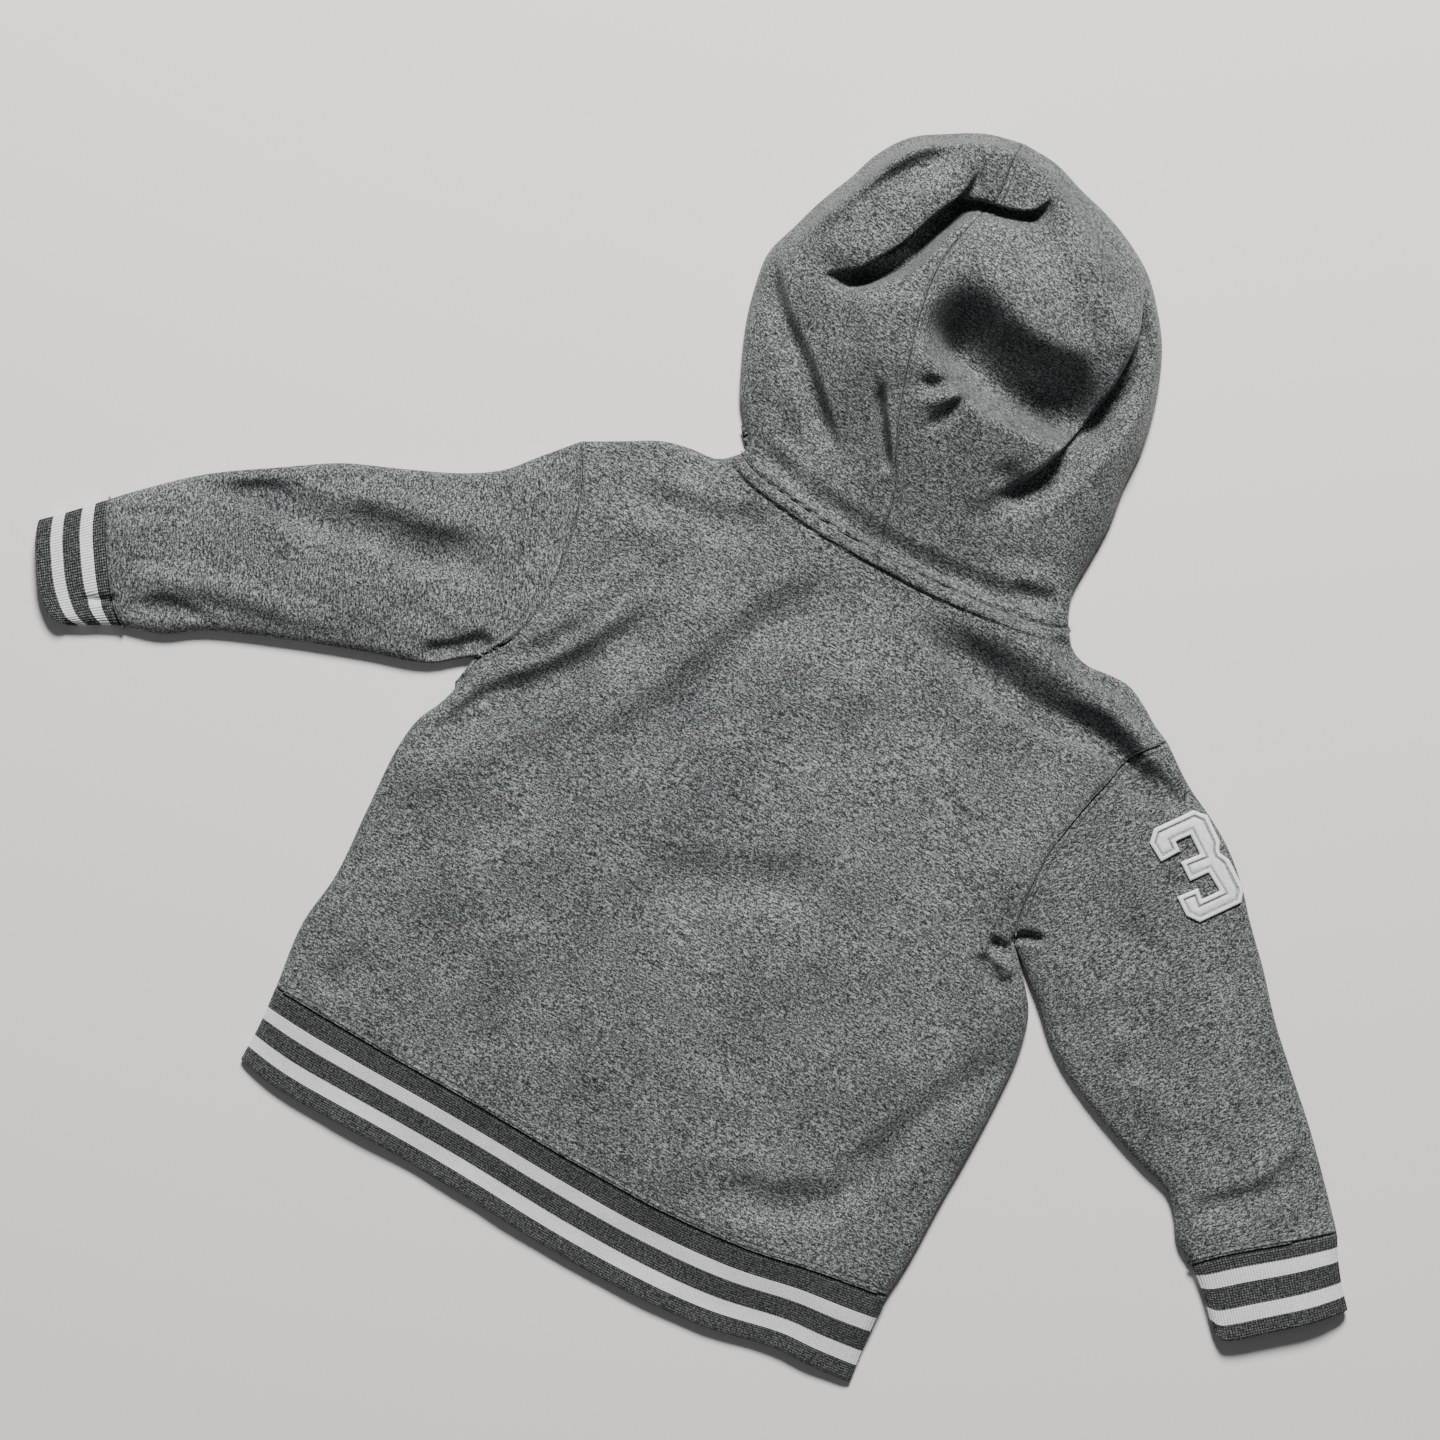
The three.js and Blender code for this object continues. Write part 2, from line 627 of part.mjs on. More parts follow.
// A ribbed band: a flattened tube with ribs raised on its upper face, plain inside and below
function ribbedBand(seam, edge, gapSide, insideColumns) {
  const lines = [moved(curve(seam), (gapSide * seamGap) / 2), curve(edge)];
  const ribs = Math.round(lengthsAlong(lines[0]).at(-1) / ribPitch);
  const rings = lines.map((line) => {
    const length = lengthsAlong(line).at(-1);
    const part = (distances, upper) => {
      const plans = pointsAt(line, distances);
      const last = plans.length - 1;
      return plans.map((plan, k) => {
        const along = seamDirection(plans, k, 0, last);
        const { point, face } = seamPoint(plan, upper, k === 0 || k === last, along);
        const place = distances[k] / length / 2;
        return { point, face, place: upper ? place : 1 - place };
      });
    };
    const steps = Array.from({ length: 2 * ribs + 1 }, (_, k) => (k * length) / (2 * ribs));
    const stations = spread(length, insideColumns, true, true);
    const top = part(steps, true);
    const lower = part(stations, false).slice(1, -1).reverse();
    const inner = [...part(stations, true), ...lower].map(({ point, face, place }) => (
      { point: point.clone().addScaledVector(face, -ribThickness), place }
    ));
    top.forEach(({ point, face }, k) => point.addScaledVector(face, k % 2 ? ribRise : 0));
    return { outer: [...top, ...lower], inner };
  });
  const triangles = [];
  const side = (a, b, turned) => a.forEach(({ point }, j) => {
    const k = (j + 1) % a.length;
    triangles.push(...(turned
      ? quad(point, b[j].point, b[k].point, a[k].point)
      : quad(point, a[k].point, b[k].point, b[j].point)));
  });
  side(rings[0].outer, rings[1].outer, false);
  side(rings[0].inner, rings[1].inner, true);
  triangles.push(...stitched(rings[0].outer, rings[0].inner, false));
  triangles.push(...stitched(rings[1].outer, rings[1].inner, true));
  return solid(triangles);
}

// Half of the hood: from its centre seam over the dome, round the outline and under to the
// face opening. side is 1 on the left half and -1 on the right half.
function hoodHalf(neckPart, necklinePart, outline, rim, side) {
  const half = seamGap / 2;
  const seamLine = moved(spreadOn(hoodSeam, hoodRows), side * half);
  const sideLine = spreadOn(outline, hoodRows);
  const rimLine = spreadOn(rim, hoodRows);
  const neckEnd = neckPart.at(-1).clone();
  seamLine[0] = new THREE.Vector2(neckEnd.x - side * half, neckEnd.y);
  const crown = seamLine.at(-1);
  rimLine[0].copy(necklinePart.at(-1)).x -= side * half;
  rimLine.at(-1).x -= side * half;
  const neckRow = withEnds(neckPart, neckPart[0], seamLine[0]);
  const necklineRow = withEnds(necklinePart, neckPart[0], rimLine[0]);
  const outlineColumn = withEnds(sideLine, neckPart[0], crown);
  const topGrid = filled(neckRow, neckRow.map(() => crown), outlineColumn, seamLine);
  const under = pointsAt(
    [crown, rimLine.at(-1)],
    spread(crown.distanceTo(rimLine.at(-1)), necklineColumns, true, false),
  );
  const underGrid = filled(necklineRow, under, outlineColumn, rimLine);
  const topEdges = (i, j, last, end) => {
    let seam = null;
    if (i === 0) seam = { along: 'row', first: 0, last: end };
    else if (j === end || i === last) seam = { along: 'column', first: 0, last, column: end };
    return { rolled: j === 0 || i === last, seam };
  };
  const underEdges = (i, j, last, end) => ({
    rolled: j === 0,
    seam: i === 0 || i === last ? { along: 'row', first: 0, last: end } : null,
  });
  const top = layer(topGrid, true, fleeceThickness, topEdges);
  const below = layer(underGrid, false, fleeceThickness, underEdges);
  const rowsOf = (upper, lower) =>
    upper.map((row, i) => [...row.toReversed(), ...lower[i].slice(1)]);
  return wall({
    outer: rowsOf(top.outer, below.outer),
    inner: rowsOf(top.inner, below.inner),
  });
}

const hoodNeck = moved(neckSeam, seamGap / 2);
const hoodNeckline = moved(frontSeam, seamGap / 2);
const neckHalf = leftNeckPoints.length;
const necklineHalf = leftNeckline.length;

// Numeral: a block figure on a lattice of cells, with cut corners and a notched right side
const latticeAcross = [0, 5.5, 11, 15.5, 20, 22.5, 25, 28, 31];
const latticeUp = [0, 6, 11, 15, 21, 26, 31, 37, 41, 46, 52];
const bars = [
  { left: 0, right: 31, low: 0, high: 11 },
  { left: 0, right: 31, low: 41, high: 52 },
  { left: 20, right: 31, low: 11, high: 41 },
  { left: 11, right: 20, low: 21, high: 31 },
  { left: 0, right: 11, low: 11, high: 15 },
  { left: 0, right: 11, low: 37, high: 41 },
];
const cuts = [
  { left: 0, low: 0, corner: 0 },
  { left: 28, low: 0, corner: 1 },
  { left: 28, low: 46, corner: 2 },
  { left: 0, low: 46, corner: 3 },
  { left: 28, low: 21, corner: 2 },
  { left: 28, low: 26, corner: 1 },
];

function numeralPoint(across, up, lift) {
  const plan = numeralCentre.clone()
    .addScaledVector(numeralAcross, across - latticeAcross.at(-1) / 2)
    .addScaledVector(numeralUp, up - latticeUp.at(-1) / 2);
  const { point, face } = facePoint(plan, true, false);
  return point.addScaledVector(face, lift);
}

function numeral() {
  const polygons = [];
  for (let i = 0; i < latticeAcross.length - 1; i += 1) {
    for (let j = 0; j < latticeUp.length - 1; j += 1) {
      const [left, right] = [latticeAcross[i], latticeAcross[i + 1]];
      const [low, high] = [latticeUp[j], latticeUp[j + 1]];
      const inside = bars.some((bar) => (
        left >= bar.left && right <= bar.right && low >= bar.low && high <= bar.high
      ));
      if (inside) {
        const corners = [[left, low], [right, low], [right, high], [left, high]];
        const cut = cuts.find((entry) => entry.left === left && entry.low === low);
        polygons.push(corners.filter((_, corner) => !cut || corner !== cut.corner));
      }
    }
  }
  const bottom = numeralGap;
  const top = numeralGap + numeralThickness;
  const key = ([a, b]) => `${a},${b}`;
  const sides = new Map();
  const triangles = [];
  for (const polygon of polygons) {
    for (let k = 1; k < polygon.length - 1; k += 1) {
      const corners = [polygon[0], polygon[k], polygon[k + 1]];
      triangles.push(corners.map(([a, b]) => numeralPoint(a, b, top)));
      triangles.push(corners.toReversed().map(([a, b]) => numeralPoint(a, b, bottom)));
    }
    polygon.forEach((corner, k) => {
      const after = polygon[(k + 1) % polygon.length];
      if (!sides.delete(key(after) + key(corner))) {
        sides.set(key(corner) + key(after), [corner, after]);
      }
    });
  }
  for (const [from, to] of sides.values()) {
    triangles.push(...quad(
      numeralPoint(...from, bottom), numeralPoint(...to, bottom),
      numeralPoint(...to, top), numeralPoint(...from, top),
    ));
  }
  return solid(triangles);
}

const fleece = new THREE.MeshStandardMaterial({ color: charcoal, roughness: 0.95, metalness: 0 });
const rib = new THREE.MeshStandardMaterial({ color: ribCharcoal, roughness: 0.9, metalness: 0 });
const applique = new THREE.MeshStandardMaterial({ color: offWhite, roughness: 0.6, metalness: 0 });

const hoodie = new THREE.Group();

function add(name, geometry, material) {
  const mesh = new THREE.Mesh(geometry, material);
  mesh.name = name;
  hoodie.add(mesh);
}

add('back_panel', backPanel(), fleece);
add('front_panel', frontPanel(), fleece);
add('left_sleeve', sleeve(leftArmSeam, leftCuffSeam, leftUnderarm, leftOverarm, 1), fleece);
add('right_sleeve', sleeve(rightArmSeam, rightCuffSeam, rightUnderarm, rightOverarm, -1), fleece);
add('left_cuff', ribbedBand(leftCuffSeam, leftCuffEdge, 1, armholeColumns), rib);
add('right_cuff', ribbedBand(rightCuffSeam, rightCuffEdge, -1, armholeColumns), rib);
add('hem_band', ribbedBand(hemSeam, hemEdge, -1, hemInsideColumns), rib);
add('hood_left', hoodHalf(
  hoodNeck.slice(0, neckHalf), hoodNeckline.slice(0, necklineHalf), leftHoodSide, leftRim, 1,
), fleece);
add('hood_right', hoodHalf(
  hoodNeck.slice(neckHalf - 1).reverse(), hoodNeckline.slice(necklineHalf - 1).reverse(),
  rightHoodSide, rightRim, -1,
), fleece);
add('sleeve_numeral', numeral(), applique);

export default hoodie;
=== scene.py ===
import math

import bmesh
import bpy
import numpy as np
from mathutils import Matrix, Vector
from mathutils.geometry import delaunay_2d_cdt


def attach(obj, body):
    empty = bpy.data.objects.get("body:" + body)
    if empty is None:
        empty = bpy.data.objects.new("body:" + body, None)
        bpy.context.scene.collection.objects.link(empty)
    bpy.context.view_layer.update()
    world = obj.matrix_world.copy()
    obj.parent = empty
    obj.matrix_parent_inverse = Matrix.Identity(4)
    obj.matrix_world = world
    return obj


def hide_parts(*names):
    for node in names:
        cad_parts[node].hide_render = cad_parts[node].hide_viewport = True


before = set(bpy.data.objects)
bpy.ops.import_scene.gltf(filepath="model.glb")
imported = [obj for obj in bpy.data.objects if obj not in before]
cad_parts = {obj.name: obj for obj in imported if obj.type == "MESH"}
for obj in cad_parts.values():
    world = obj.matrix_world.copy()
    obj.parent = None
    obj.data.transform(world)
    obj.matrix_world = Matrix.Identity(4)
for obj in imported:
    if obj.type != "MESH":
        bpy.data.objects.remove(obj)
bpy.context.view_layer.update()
print("frame loaded:", len(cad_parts), "nodes")

# The pattern is drawn flat in millimetres: x along the hem, y from hem to hood.
# These move it onto the CAD model, which is in metres.
patternShift = (5.7, -289.2)
seamGap = 0.3
offFloor = 0.05     # least height of a fleece wall's inner face

torsoCut = {
    "leftSide": [
        (-174, 40.6), (-177.2, 75), (-173.6, 104), (-175, 140), (-176, 176), (-173.3, 193),
        (-167.2, 205.5), (-163.2, 219), (-160.5, 235)
    ],
    "rightSide": [
        (169, 46), (170.8, 66), (171.3, 100), (172.5, 135), (172.3, 165), (171, 186), (166, 205),
        (155.5, 219), (143.5, 232)
    ],
    "leftArmhole": [
        (-160.5, 235), (-150, 251), (-144.5, 275), (-146, 300), (-151, 324), (-158, 341),
        (-165.9, 354)
    ],
    "rightArmhole": [
        (143.5, 232), (139.5, 243), (137.3, 262), (137.8, 285), (141, 303), (146, 323),
        (152.5, 344), (164.4, 357.4)
    ],
    "leftShoulder": [
        (-165.9, 354), (-148, 363.5), (-130, 373), (-116, 376.3), (-101, 378), (-92, 386)
    ],
    "rightShoulder": [
        (164.4, 357.4), (155, 361.8), (145.5, 368), (134, 373.4), (123, 373.6), (111, 372.6),
        (101, 376), (94, 385)
    ],
    "leftNeck": [(-92, 386), (-83, 381.4), (-53, 376.3), (-30, 374.2), (-8, 373.4)],
    "rightNeck": [(94, 385), (86, 381), (60, 376.5), (27, 373.7), (-8, 373.4)],
}

hemBandCut = {
    "seam": [
        (-174, 40.6), (-120, 38), (-60, 36), (-8, 33.3), (50, 32), (95, 35), (130, 41),
        (169, 46)
    ],
    "edge": [
        (-173, 0), (-150, -4), (-90, -5.5), (-40, -8), (10, -11.7), (55, -12.5), (95, -10),
        (132, -3), (150, -2.6), (173, -1)
    ],
    "leftSide": [(-173, 0), (-172.6, 20), (-174, 40.6)],
    "rightSide": [(173, -1), (170.6, 20), (169, 46)],
}

leftSleeveCut = {
    "underarm": [
        (-160.5, 235), (-167.5, 230.5), (-182.5, 219.5), (-214, 209.5), (-252, 196.5),
        (-289, 181.8), (-307, 170.5), (-326.6, 165)
    ],
    "overarm": [
        (-165.9, 354), (-180, 338.5), (-194, 323), (-211.5, 312), (-239, 300), (-267, 288.5),
        (-293, 272.5), (-325.9, 251), (-353, 227), (-362, 218)
    ],
}

rightSleeveCut = {
    "underarm": [
        (143.5, 232), (156, 221.5), (168, 211), (181, 198), (193, 189), (211, 179.5), (231, 171),
        (252, 163.4), (268, 158.5), (276.5, 150.5), (285.5, 137.6), (296.3, 131.6)
    ],
    "overarm": [
        (164.4, 357.4), (184, 343), (201, 334), (216, 324.5), (231, 311), (243, 297), (260, 279),
        (278, 258), (296.7, 239.6), (317, 220), (339.6, 195.7), (354, 179.5)
    ],
}

leftCuffCut = {
    "seam": [
        (-326.6, 165), (-333.5, 171), (-340.5, 180), (-347.5, 190.7), (-355.7, 204), (-362, 218)
    ],
    "edge": [
        (-351, 152.7), (-357.6, 152), (-364, 155.4), (-372.2, 163.5), (-378.2, 172.5),
        (-384, 182.2), (-388.3, 192.5)
    ],
    "under": [(-326.6, 165), (-336, 160.5), (-344, 156), (-351, 152.7)],
    "over": [(-362, 218), (-371.8, 208), (-380, 200), (-388.3, 192.5)],
}

rightCuffCut = {
    "seam": [
        (296.3, 131.6), (303, 138.5), (311, 145.8), (321, 153.6), (335, 164.3), (346.8, 173.6),
        (354, 179.5)
    ],
    "edge": [
        (322.6, 106.5), (328, 105), (333.6, 108.5), (342, 115.6), (352.8, 124.6), (363.4, 133.8),
        (376.9, 147.5)
    ],
    "under": [(296.3, 131.6), (305, 124.6), (312.4, 117.2), (322.6, 106.5)],
    "over": [(354, 179.5), (361, 167.5), (368.2, 157.5), (376.9, 147.5)],
}

hoodCut = {
    "leftSide": [
        (-92, 386), (-90.8, 391.5), (-97, 399), (-105, 409), (-113.5, 427), (-120.5, 445),
        (-125, 463), (-127, 481), (-121.5, 499), (-115.5, 517), (-108, 534), (-102, 550),
        (-91, 565.5), (-75, 576), (-58, 585), (-39, 589.4)
    ],
    "rightSide": [
        (94, 385), (90.4, 392), (87.3, 403), (87.8, 422), (88, 441), (85.6, 461), (85, 480),
        (82, 498), (77, 515), (69.6, 532), (59, 547), (47, 560), (32, 569.6), (15, 577),
        (-2, 582), (-20, 588), (-39, 589.4)
    ],
    "seam": [
        (-8, 373.4), (-11, 385), (-15, 403), (-27, 427), (-39.5, 462), (-46, 489), (-48, 511),
        (-43, 538), (-38.5, 560), (-40, 578), (-39, 589.4)
    ],
    "leftRim": [(1, 329.5), (-18, 370), (-35, 420), (-50, 480), (-58, 525), (-39, 562)],
    "rightRim": [(1, 329.5), (20, 370), (40, 420), (42, 480), (22, 530), (-39, 562)],
}

# a fold is (depth, reach on its left, reach on its right, path); below zero it is a trough
clothFolds = {
    "leftArmpit": (-8.5, 12, 19, [
        (-176, 178), (-158, 197), (-141, 222), (-124, 240), (-106, 266), (-86, 308)
    ]),
    "leftArmpitRidge": (2.6, 10, 10, [(-150, 246), (-138, 262), (-124, 288), (-112, 318)]),
    "middleDiagonal": (-6.5, 17, 24, [(-92, 205), (-70, 245), (-51, 286), (-33, 327), (-4, 356)]),
    "upperLeft": (-4.5, 13, 15, [(-140, 340), (-95, 347), (-54, 364)]),
    "rightShoulder": (-13, 18, 7, [
        (18, 352), (46, 345), (68, 340), (92, 337.5), (111, 336.5), (130, 339.5), (146, 337),
        (156, 331), (170, 330.5), (184, 335), (202, 343)
    ]),
    "rightShoulderRidge": (8.5, 13, 14, [
        (30, 371), (63, 367), (86, 366), (110, 363), (133, 358), (150, 350), (165, 342), (176, 334)
    ]),
    "rightFlank": (-6, 13, 17, [
        (170, 190), (151, 143), (135, 105), (122, 77), (101, 61), (52, 46)
    ]),
    "leftSleeve": (-8.5, 20, 10, [
        (-336, 250), (-300, 253), (-278, 254), (-254, 257), (-236, 263), (-214, 264), (-191, 271),
        (-160, 276)
    ]),
    "leftSleeveCrown": (2.4, 12, 12, [(-262, 276), (-236, 283), (-208, 287), (-186, 296)]),
    "leftSleeveCuff": (-3.6, 7, 9, [(-330, 171), (-313, 183), (-298, 186), (-278, 182)]),
    "leftSleeveLit": (3, 11, 9, [(-345, 182), (-312, 197), (-282, 206), (-242, 212), (-206, 224)]),
    "rightSleeveCuff": (-4.5, 9, 12, [(279, 152), (299, 168), (313, 183), (323, 214)]),
    "middleOfTheBack": (-4.5, 18, 20, [(-40, 172), (7, 196), (50, 218)]),
    "lowLeft": (-2.6, 12, 14, [(-158, 50), (-146, 62), (-136, 78)]),
    "hoodSlot": (-18, 5, 20, [
        (-98, 476), (-88.6, 489.6), (-74, 512.5), (-64, 537), (-53, 557), (-48, 566)
    ]),
    "hoodSlotEnd": (-15, 4, 13, [(-62, 545), (-46, 551), (-34, 553), (-22, 557.5), (-10, 567)]),
    "hoodSlotLip": (3, 9, 9, [(-112, 484), (-95, 500), (-82, 523), (-70, 548), (-58, 566)]),
    "hoodCrownRim": (15, 12, 32, [(-118, 484), (-104, 528), (-82, 561), (-52, 577), (-16, 580)]),
    "hoodCrownValley": (-3.4, 6, 7, [(-112, 494), (-99, 516), (-87, 541), (-70, 564), (-56, 577)]),
    "hoodCrownRidge": (2.4, 6, 6, [(-118, 486), (-106, 514), (-94, 540), (-76, 565), (-60, 578)]),
    "hoodBowl": (-40, 32, 20, [
        (-46, 490), (-29, 486), (-10, 478), (10, 474), (30, 475), (46, 480), (64, 490)
    ]),
    "hoodSlotFloor": (-16, 9, 7, [
        (-92, 478), (-76, 491), (-62, 507), (-59, 520), (-54, 535), (-44, 548)
    ]),
    "hoodRidge": (9, 16, 17, [(-34, 584), (-21, 576), (4, 558), (32, 535), (56, 517), (68, 500)]),
    "hoodLeftCrease": (-9, 6, 12, [(-131, 486), (-107, 457), (-84, 438.5), (-58, 414), (-44, 402)]),
    "hoodRightCrease": (-17, 5, 19, [
        (27, 417), (36, 430), (44, 445), (50.5, 464), (56, 487), (58, 511), (55, 536), (44, 566)
    ]),
    "hoodPinchA": (-5, 4.5, 8, [(-33, 454), (-22, 459), (-12.8, 465), (-1, 474)]),
    "hoodPinchB": (-4.2, 5, 5, [(-18, 434), (-10, 448), (-4.5, 461), (0, 475)]),
    "hoodPinchRidge": (3, 5, 5, [(-26, 443), (-14, 456), (-7, 466), (-4, 480)]),
    "hoodSeamPocket": (-8, 3.2, 5, [(-47, 449), (-42, 439), (-34, 427), (-25.4, 415), (-20, 408)]),
    "hoodSpot": (-4, 10, 10, [(22, 440), (34, 433), (44, 422)]),
    "aboveTheNeckSeam": (-5, 4, 11, [(90, 391), (55, 382.5), (8, 378), (-26, 379), (-84, 388)]),
    "hoodCrownLeft": (-3.2, 8, 8, [(-117, 503), (-86, 543), (-54, 580)]),
}

# lips of cloth that lean over the trough on their right: (lean, reach behind the lip)
leaningLips = {
    "hoodSlot": (9, 20),
    "hoodSlotEnd": (5, 13),
    "hoodRightCrease": (3, 16),
}

# small folds right at the armpits, where the cloth meets the edge
armpitFolds = {
    "rightHook": (-6.5, 4, 3, [(157, 242), (151.2, 239.7), (146, 238), (142.6, 234), (143.5, 228)]),
    "rightPitUpper": (-6.5, 5, 6.5, [(130, 228), (136, 227.5), (141, 227), (146, 229)]),
    "rightPitLower": (-6, 7, 8, [(130, 222), (137, 214.5), (143, 210.5), (153, 210)]),
    "rightBump": (2.6, 4, 4, [(136, 221), (145, 221), (151, 217)]),
    "leftHook": (-7, 9, 6, [(-190, 219), (-181, 225), (-171, 232), (-163, 240), (-157, 248)]),
}

# low creases of the cloth that are too slight for the folds above
fineCreases = {
    "backUpper": (-0.9, 12, 10, [(-60, 300), (-34, 318), (-8, 342), (12, 360)]),
    "backShoulderBlade": (-0.8, 16, 12, [(40, 300), (70, 312), (104, 316), (132, 312)]),
    "backMiddleRidge": (0.7, 14, 18, [(-112, 190), (-88, 228), (-70, 268), (-58, 300)]),
    "backCentreShade": (-1.1, 26, 22, [(-20, 262), (10, 276), (44, 290)]),
    "backLowShade": (-1.0, 20, 16, [(28, 120), (60, 140), (92, 168), (112, 200)]),
    "backLowRidge": (0.8, 16, 14, [(-70, 80), (-20, 96), (40, 100), (88, 92)]),
    "backLowStreak": (-0.8, 9, 12, [(-96, 58), (-60, 72), (-30, 90), (-6, 118)]),
    "hemLeftTuck": (-0.9, 7, 8, [(-120, 42), (-112, 56), (-98, 74)]),
    "hemRightTuck": (-0.9, 8, 8, [(66, 38), (74, 54), (88, 70)]),
    "hemMiddleTuck": (-0.7, 7, 9, [(-26, 38), (-20, 52), (-8, 68)]),
    "flankRidge": (1.2, 9, 9, [(160, 160), (143, 118), (126, 92), (104, 76)]),
    "leftSideRidge": (1.1, 8, 9, [(-166, 150), (-150, 172), (-132, 200), (-112, 226)]),
    "leftSideTuck": (-1.0, 6, 7, [(-168, 114), (-160, 122), (-146, 136)]),
    "leftSideSeam": (-1.2, 3, 3, [(-168, 118), (-168.6, 104), (-170, 90)]),
    "leftArmpitFan": (-1.6, 7, 8, [(-152, 236), (-134, 254), (-122, 276)]),
    "leftArmpitSleeve": (-1.4, 7, 6, [(-172, 236), (-190, 240), (-212, 240)]),
    "leftArmpitPit": (-1.8, 7, 8, [(-164, 178), (-155, 188), (-148, 200)]),
    "leftSleeveLowCrease": (-1.2, 7, 8, [(-262, 208), (-232, 216), (-204, 226)]),
    "leftSleeveTop": (-0.9, 8, 7, [(-300, 262), (-268, 278), (-236, 288), (-206, 300)]),
    "leftSleeveCuffTuckA": (-1.1, 4, 5, [(-356, 214), (-342, 220), (-326, 228)]),
    "leftSleeveCuffTuckB": (-0.9, 4, 4, [(-346, 192), (-332, 198), (-316, 204)]),
    "rightSleeveUpper": (-1.0, 8, 9, [(176, 258), (200, 262), (222, 254), (240, 240)]),
    "rightSleeveElbow": (-1.1, 9, 8, [(204, 196), (226, 206), (250, 208), (270, 200)]),
    "rightSleeveFront": (0.9, 9, 9, [(190, 232), (216, 236), (240, 226)]),
    "rightSleeveLower": (-0.9, 8, 7, [(244, 176), (266, 188), (292, 190)]),
    "rightSleeveCuffTuckA": (-1.2, 4, 5, [(318, 158), (313, 170), (312, 186)]),
    "rightSleeveCuffTuckB": (-1.0, 4, 4, [(340, 174), (330, 186), (322, 200)]),
    "rightShoulderTuck": (-1.2, 5, 6, [(150, 330), (146, 312), (150, 292)]),
    "shoulderStrapRidge": (0.8, 7, 7, [(-130, 352), (-104, 360), (-84, 372)]),
    "hoodLeftFlap": (1.8, 8, 8, [(-122, 462), (-96, 444), (-72, 428)]),
    "hoodLeftLow": (-1.6, 10, 9, [(-96, 420), (-78, 408), (-52, 396)]),
    "hoodLeftPanel": (-2.0, 9, 10, [(-104, 500), (-84, 476), (-64, 452)]),
    "hoodCrownRight": (-1.8, 7, 8, [(-22, 582), (2, 570), (26, 556)]),
    "hoodRightPanel": (-1.8, 9, 9, [(20, 402), (34, 424), (38, 452)]),
    "hoodBowlLip": (2.0, 7, 8, [(-26, 474), (4, 470), (34, 468)]),
    "hoodRightLow": (-1.6, 9, 9, [(40, 396), (58, 404), (76, 414)]),
    "hoodSeamSide": (-1.4, 5, 6, [(-30, 404), (-26, 392), (-22, 381)]),
    "neckDarkCorner": (-4.5, 8, 9, [(56, 388), (76, 391), (94, 397)]),
    "neckDarkLeft": (-3.5, 8, 8, [(-100, 396), (-84, 391), (-60, 386)]),
    "leftCuffPinch": (-2.4, 3, 4, [(-331, 177), (-341.6, 171.4), (-352, 167)]),
    "crownTick": (-3.5, 3, 4, [(-59, 574), (-54, 566), (-47, 555)]),
    "sleeveTopCrease": (-1.6, 3, 4, [(154, 331), (157, 318), (163, 302)]),
}

# sewn lines: (groove depth, groove width, row of stitches beside it, height of the ridge between)
sewnLines = {
    "armhole": (1.2, 0.7, 3.6, 0.45),
    "neck": (1.6, 0.9, 7.1, 0.9),
    "hood": (1.3, 0.8, 3.2, 0.45),
    "hem": (1.1, 0.7, 2.8, 0.35),
    "cuff": (1.3, 0.9, 2.8, 0.3),
}


def curve(points, step=4.0):
    # centripetal spline through the points, as an evenly spaced polyline
    p = np.asarray(points, float)
    ends = np.vstack([2 * p[0] - p[1], p, 2 * p[-1] - p[-2]])
    t = np.linspace(0, 1, 32, endpoint=False)[:, None]
    fine = []
    for a, b, c, d in zip(ends[:-3], ends[1:-2], ends[2:-1], ends[3:]):
        before, here, after = (max(np.hypot(*v), 1e-6) ** 0.5 for v in (b - a, c - b, d - c))
        startSlope = ((b - a) / before - (c - a) / (before + here) + (c - b) / here) * here
        endSlope = ((c - b) / here - (d - b) / (here + after) + (d - c) / after) * here
        fine.append(
            b + startSlope * t + (3 * (c - b) - 2 * startSlope - endSlope) * t**2
            + (2 * (b - c) + startSlope + endSlope) * t**3
        )
    fine = np.vstack(fine + [p[-1:]])
    whole = lengths(fine)[-1]
    return pointsAt(fine, np.linspace(0, whole, max(2, round(whole / step)) + 1))


def lengths(line):
    return np.concatenate([[0], np.cumsum(np.hypot(*np.diff(line, axis=0).T))])


def pointsAt(line, distances):
    along = lengths(line)
    return np.column_stack([np.interp(distances, along, line[:, k]) for k in range(2)])


def joined(*lines):
    return np.vstack([lines[0]] + [line[1:] for line in lines[1:]])


def leftOf(line):
    # unit directions square to a polyline, on its left
    step = np.empty_like(line)
    step[1:-1] = line[2:] - line[:-2]
    step[0], step[-1] = line[1] - line[0], line[-1] - line[-2]
    square = np.column_stack([-step[:, 1], step[:, 0]])
    return square / np.linalg.norm(square, axis=1, keepdims=True)


def leftAt(line, index, part):
    # the same between the points, from a segment and the place in it
    square, part = leftOf(line), part[..., None]
    return square[index] * (1 - part) + square[index + 1] * part


def moved(line, amount):
    return line + leftOf(line) * amount


def withEnds(line, first, last):
    return np.vstack([[first], line[1:-1], [last]])


def smooth(value):
    v = np.clip(value, 0, 1)
    return v * v * (3 - 2 * v)


def rising(value):
    return 1 - (1 - np.clip(value, 0, 1)) ** 2


def bell(gap, width):
    return np.exp(-((gap / width) ** 2))


